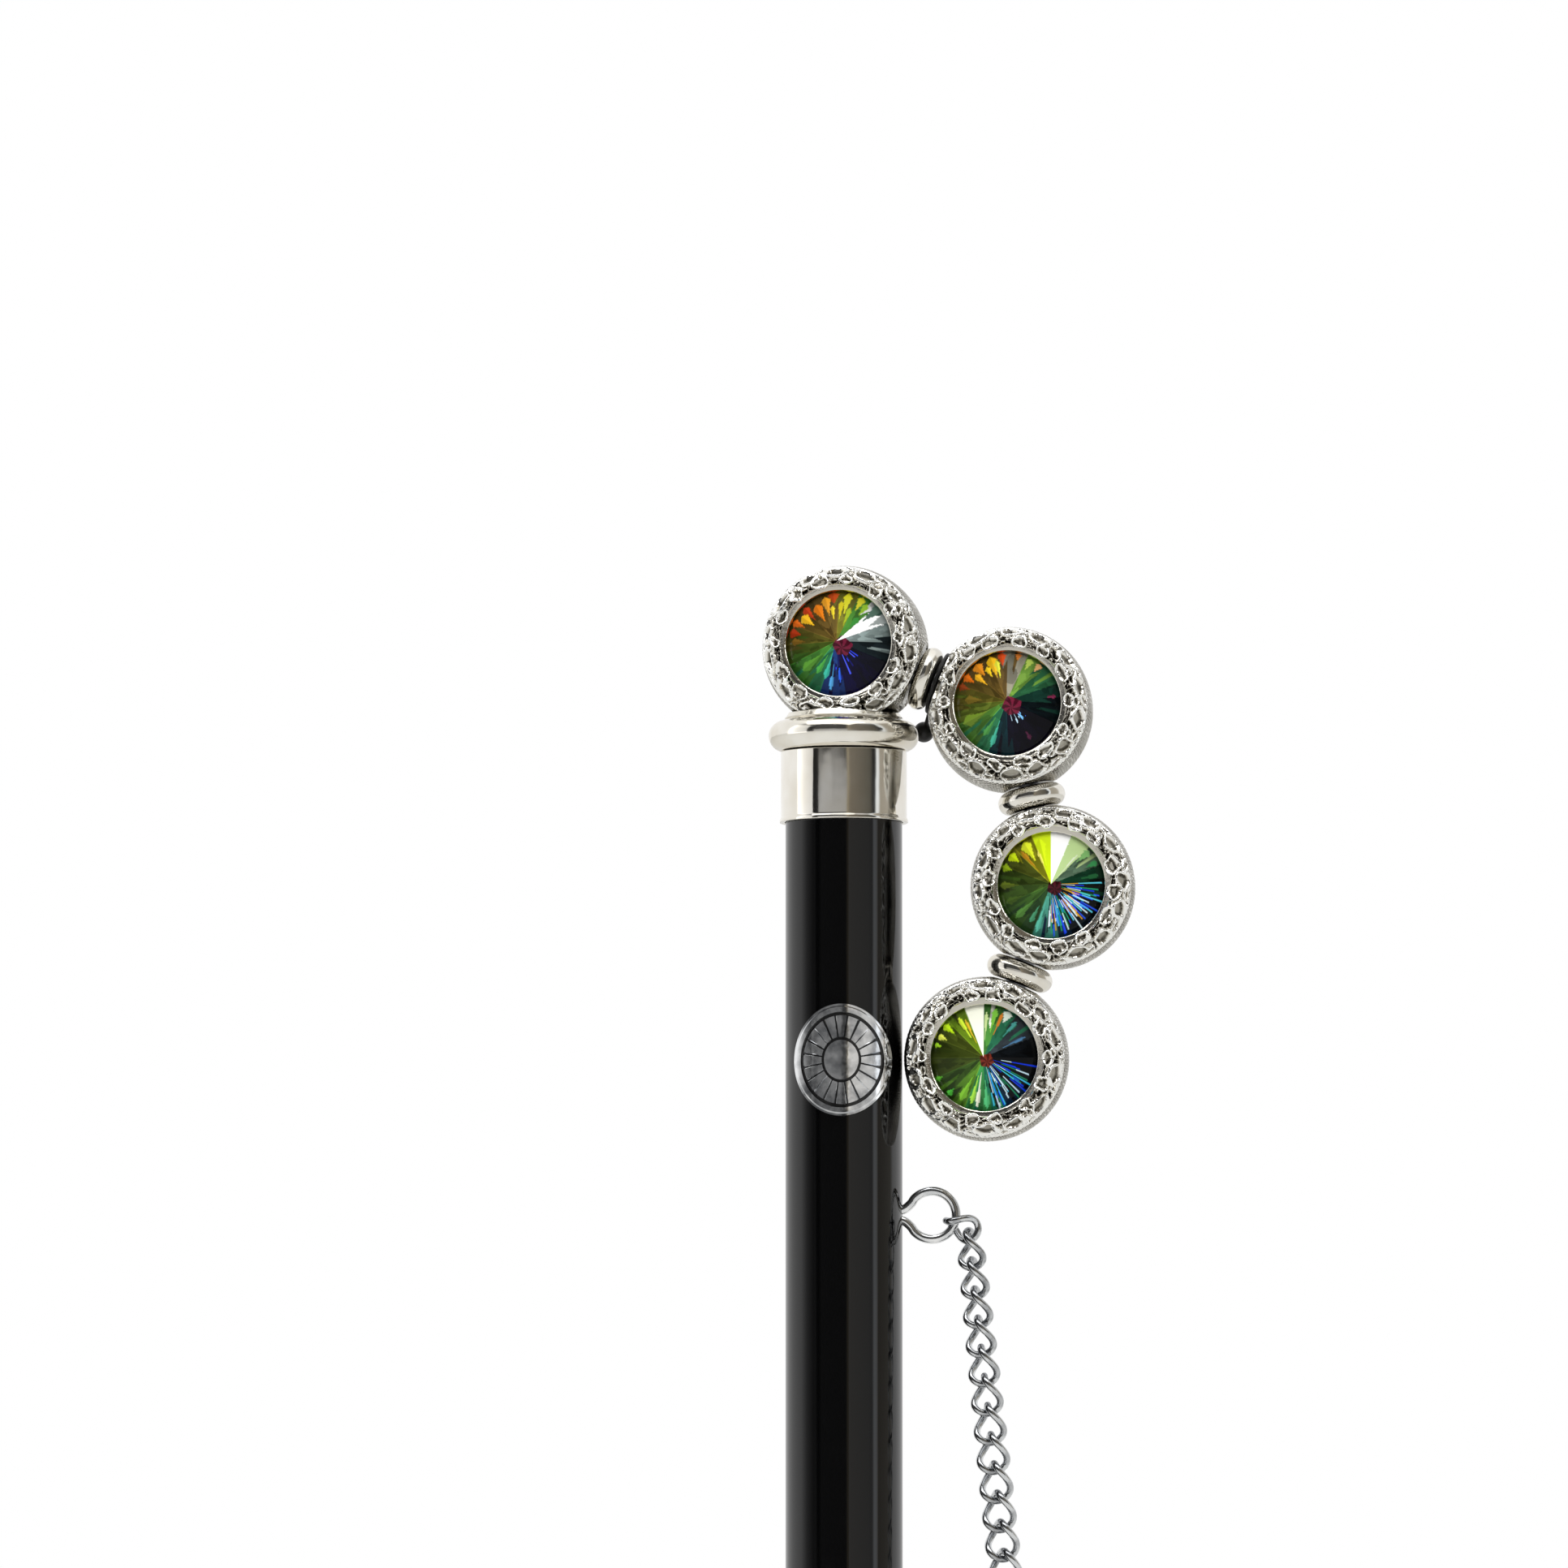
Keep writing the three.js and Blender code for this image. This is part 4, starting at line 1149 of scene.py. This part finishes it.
def studio_world():
    """A white studio with soft dark and grey screens round the camera, which the metal mirrors."""
    world = bpy.data.worlds.new("studio")
    scene.world = world
    tree = Tree(world)
    maths, ramp, mix = tree.maths, tree.ramp, tree.mix
    where = tree.node("TexCoord")
    parts = tree.node("SeparateXYZ")
    tree.links.new(where.outputs["Generated"], parts.inputs[0])
    x, y, z = parts.outputs
    azimuth = maths("ARCTAN2", x, maths("MULTIPLY", y, -1.0))
    share = maths("ADD", maths("DIVIDE", maths("SUBTRACT", azimuth, VIEW_RIGHT), FULL_TURN), 0.5)

    def walls(*stops):
        """Tones round the camera's way, each from an azimuth in degrees."""
        return ramp(share, [(0.5 + degrees / 360, tone) for degrees, tone in stops])

    outer_walls = walls(
        (-178, 1.0), (-94, 0.95), (-78, 0.32), (-64, 0.1), (58, 0.1), (61, (0.9, 0.95, 1.0)),
        (66, (0.9, 0.95, 1.0)), (70, (0.36, 0.33, 0.28)), (104, (0.42, 0.4, 0.35)), (112, 0.9),
    )
    screens = walls(
        (-66, 0.02), (-50, 0.02), (-46, 0.07), (4, 0.06), (7, (0.34, 0.3, 0.22)),
        (11, (0.19, 0.17, 0.14)), (50, (0.1, 0.095, 0.08)), (55, 0.02),
    )
    sky = ramp(z, [(0.72, 0.0), (0.84, 1.0)])
    ground = ramp(maths("MULTIPLY", z, -1.0), [(0.2, 0.0), (0.34, 1.0)])
    turn = maths("DIVIDE", maths("SUBTRACT", share, 0.5), 64 / 360)
    climb = maths("DIVIDE", maths("SUBTRACT", z, 0.3), 0.58)
    oval = maths("ADD", maths("MULTIPLY", turn, turn), maths("MULTIPLY", climb, climb))
    outside = ramp(oval, [(0.92, 0.0), (1.0, 1.0)])
    room = mix(ground, mix(sky, outer_walls, (1.1, 1.1, 1.1)), (0.8, 0.8, 0.79))
    to_camera = tree.node("LightPath").outputs["Is Camera Ray"]
    seen = mix(to_camera, mix(outside, screens, room), (1, 1, 1))
    tree.give(tree.nodes["Background"].inputs["Color"], seen)


studio_world()


def group_of(name, pieces):
    """A collection of the pieces that a light is for."""
    group = bpy.data.collections.new(name)
    for piece in pieces:
        group.objects.link(piece)
    return group


def in_slot(slot):
    return [piece for piece in scene.objects if piece.get("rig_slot") == slot]


LIT_POINT = Vector((0, 0, 0.09))


def add_panel(name, turns, heights, strength, only=None):
    """A soft rectangular light round the object: its azimuths and elevations from the camera's, in
    degrees, its brightness, and the pieces it lights if not all."""
    distance = 1.2
    middle_turn, middle_height = math.radians(sum(turns) / 2), math.radians(sum(heights) / 2)
    data = bpy.data.lights.new(name, "AREA")
    data.shape = "RECTANGLE"
    data.size = 2 * distance * math.tan(math.radians(turns[1] - turns[0]) / 2)
    data.size_y = 2 * distance * math.tan(math.radians(heights[1] - heights[0]) / 2)
    data.energy = math.pi * data.size * data.size_y * strength
    lamp = bpy.data.objects.new(name, data)
    stand(lamp, LIT_POINT, direction(middle_turn + VIEW_RIGHT, middle_height), distance)
    lamp.visible_camera = False
    if only is not None:
        lamp.light_linking.receiver_collection = only
    return lamp


silver_pieces = group_of("silver_pieces", in_slot("silver_plate"))
black_pieces = group_of("black_pieces", in_slot("black_lacquer"))
badge_only = group_of("badge_only", [badge_piece])
stones = group_of("stones", in_slot("cut_crystal"))
cast_rings = group_of("cast_rings", cast_ring_pieces)
add_panel("left_sheet", (-95, -59), (-40, 40), 0.75, silver_pieces)
add_panel("front_sheet", (-48, 5), (-3, 13), 0.34, silver_pieces)
add_panel("right_sheet", (9, 70), (-30, 40), 0.34, black_pieces)
add_panel("softbox", (-60, 0), (50, 85), 1.2)
add_panel("badge_right_sheet", (7, 75), (-12, 22), 0.5, badge_only)
add_panel("badge_left_sheet", (-60, -4), (-12, 22), 0.13, badge_only)
stone_lamp = add_panel("stone_lamp", (-30, 30), (10, 40), 4, stones)
stone_lamp.visible_glossy = False
SPARKLE_HALF = 7
for number, (turn, height) in enumerate([(-38, 40), (8, 62), (42, 20), (-12, -34)]):
    turns = (turn - SPARKLE_HALF, turn + SPARKLE_HALF)
    heights = (height - SPARKLE_HALF, height + SPARKLE_HALF)
    add_panel(f"sparkle_{number + 1}", turns, heights, 7, cast_rings)

scene.view_settings.view_transform = "Standard"
scene.view_settings.look = "None"
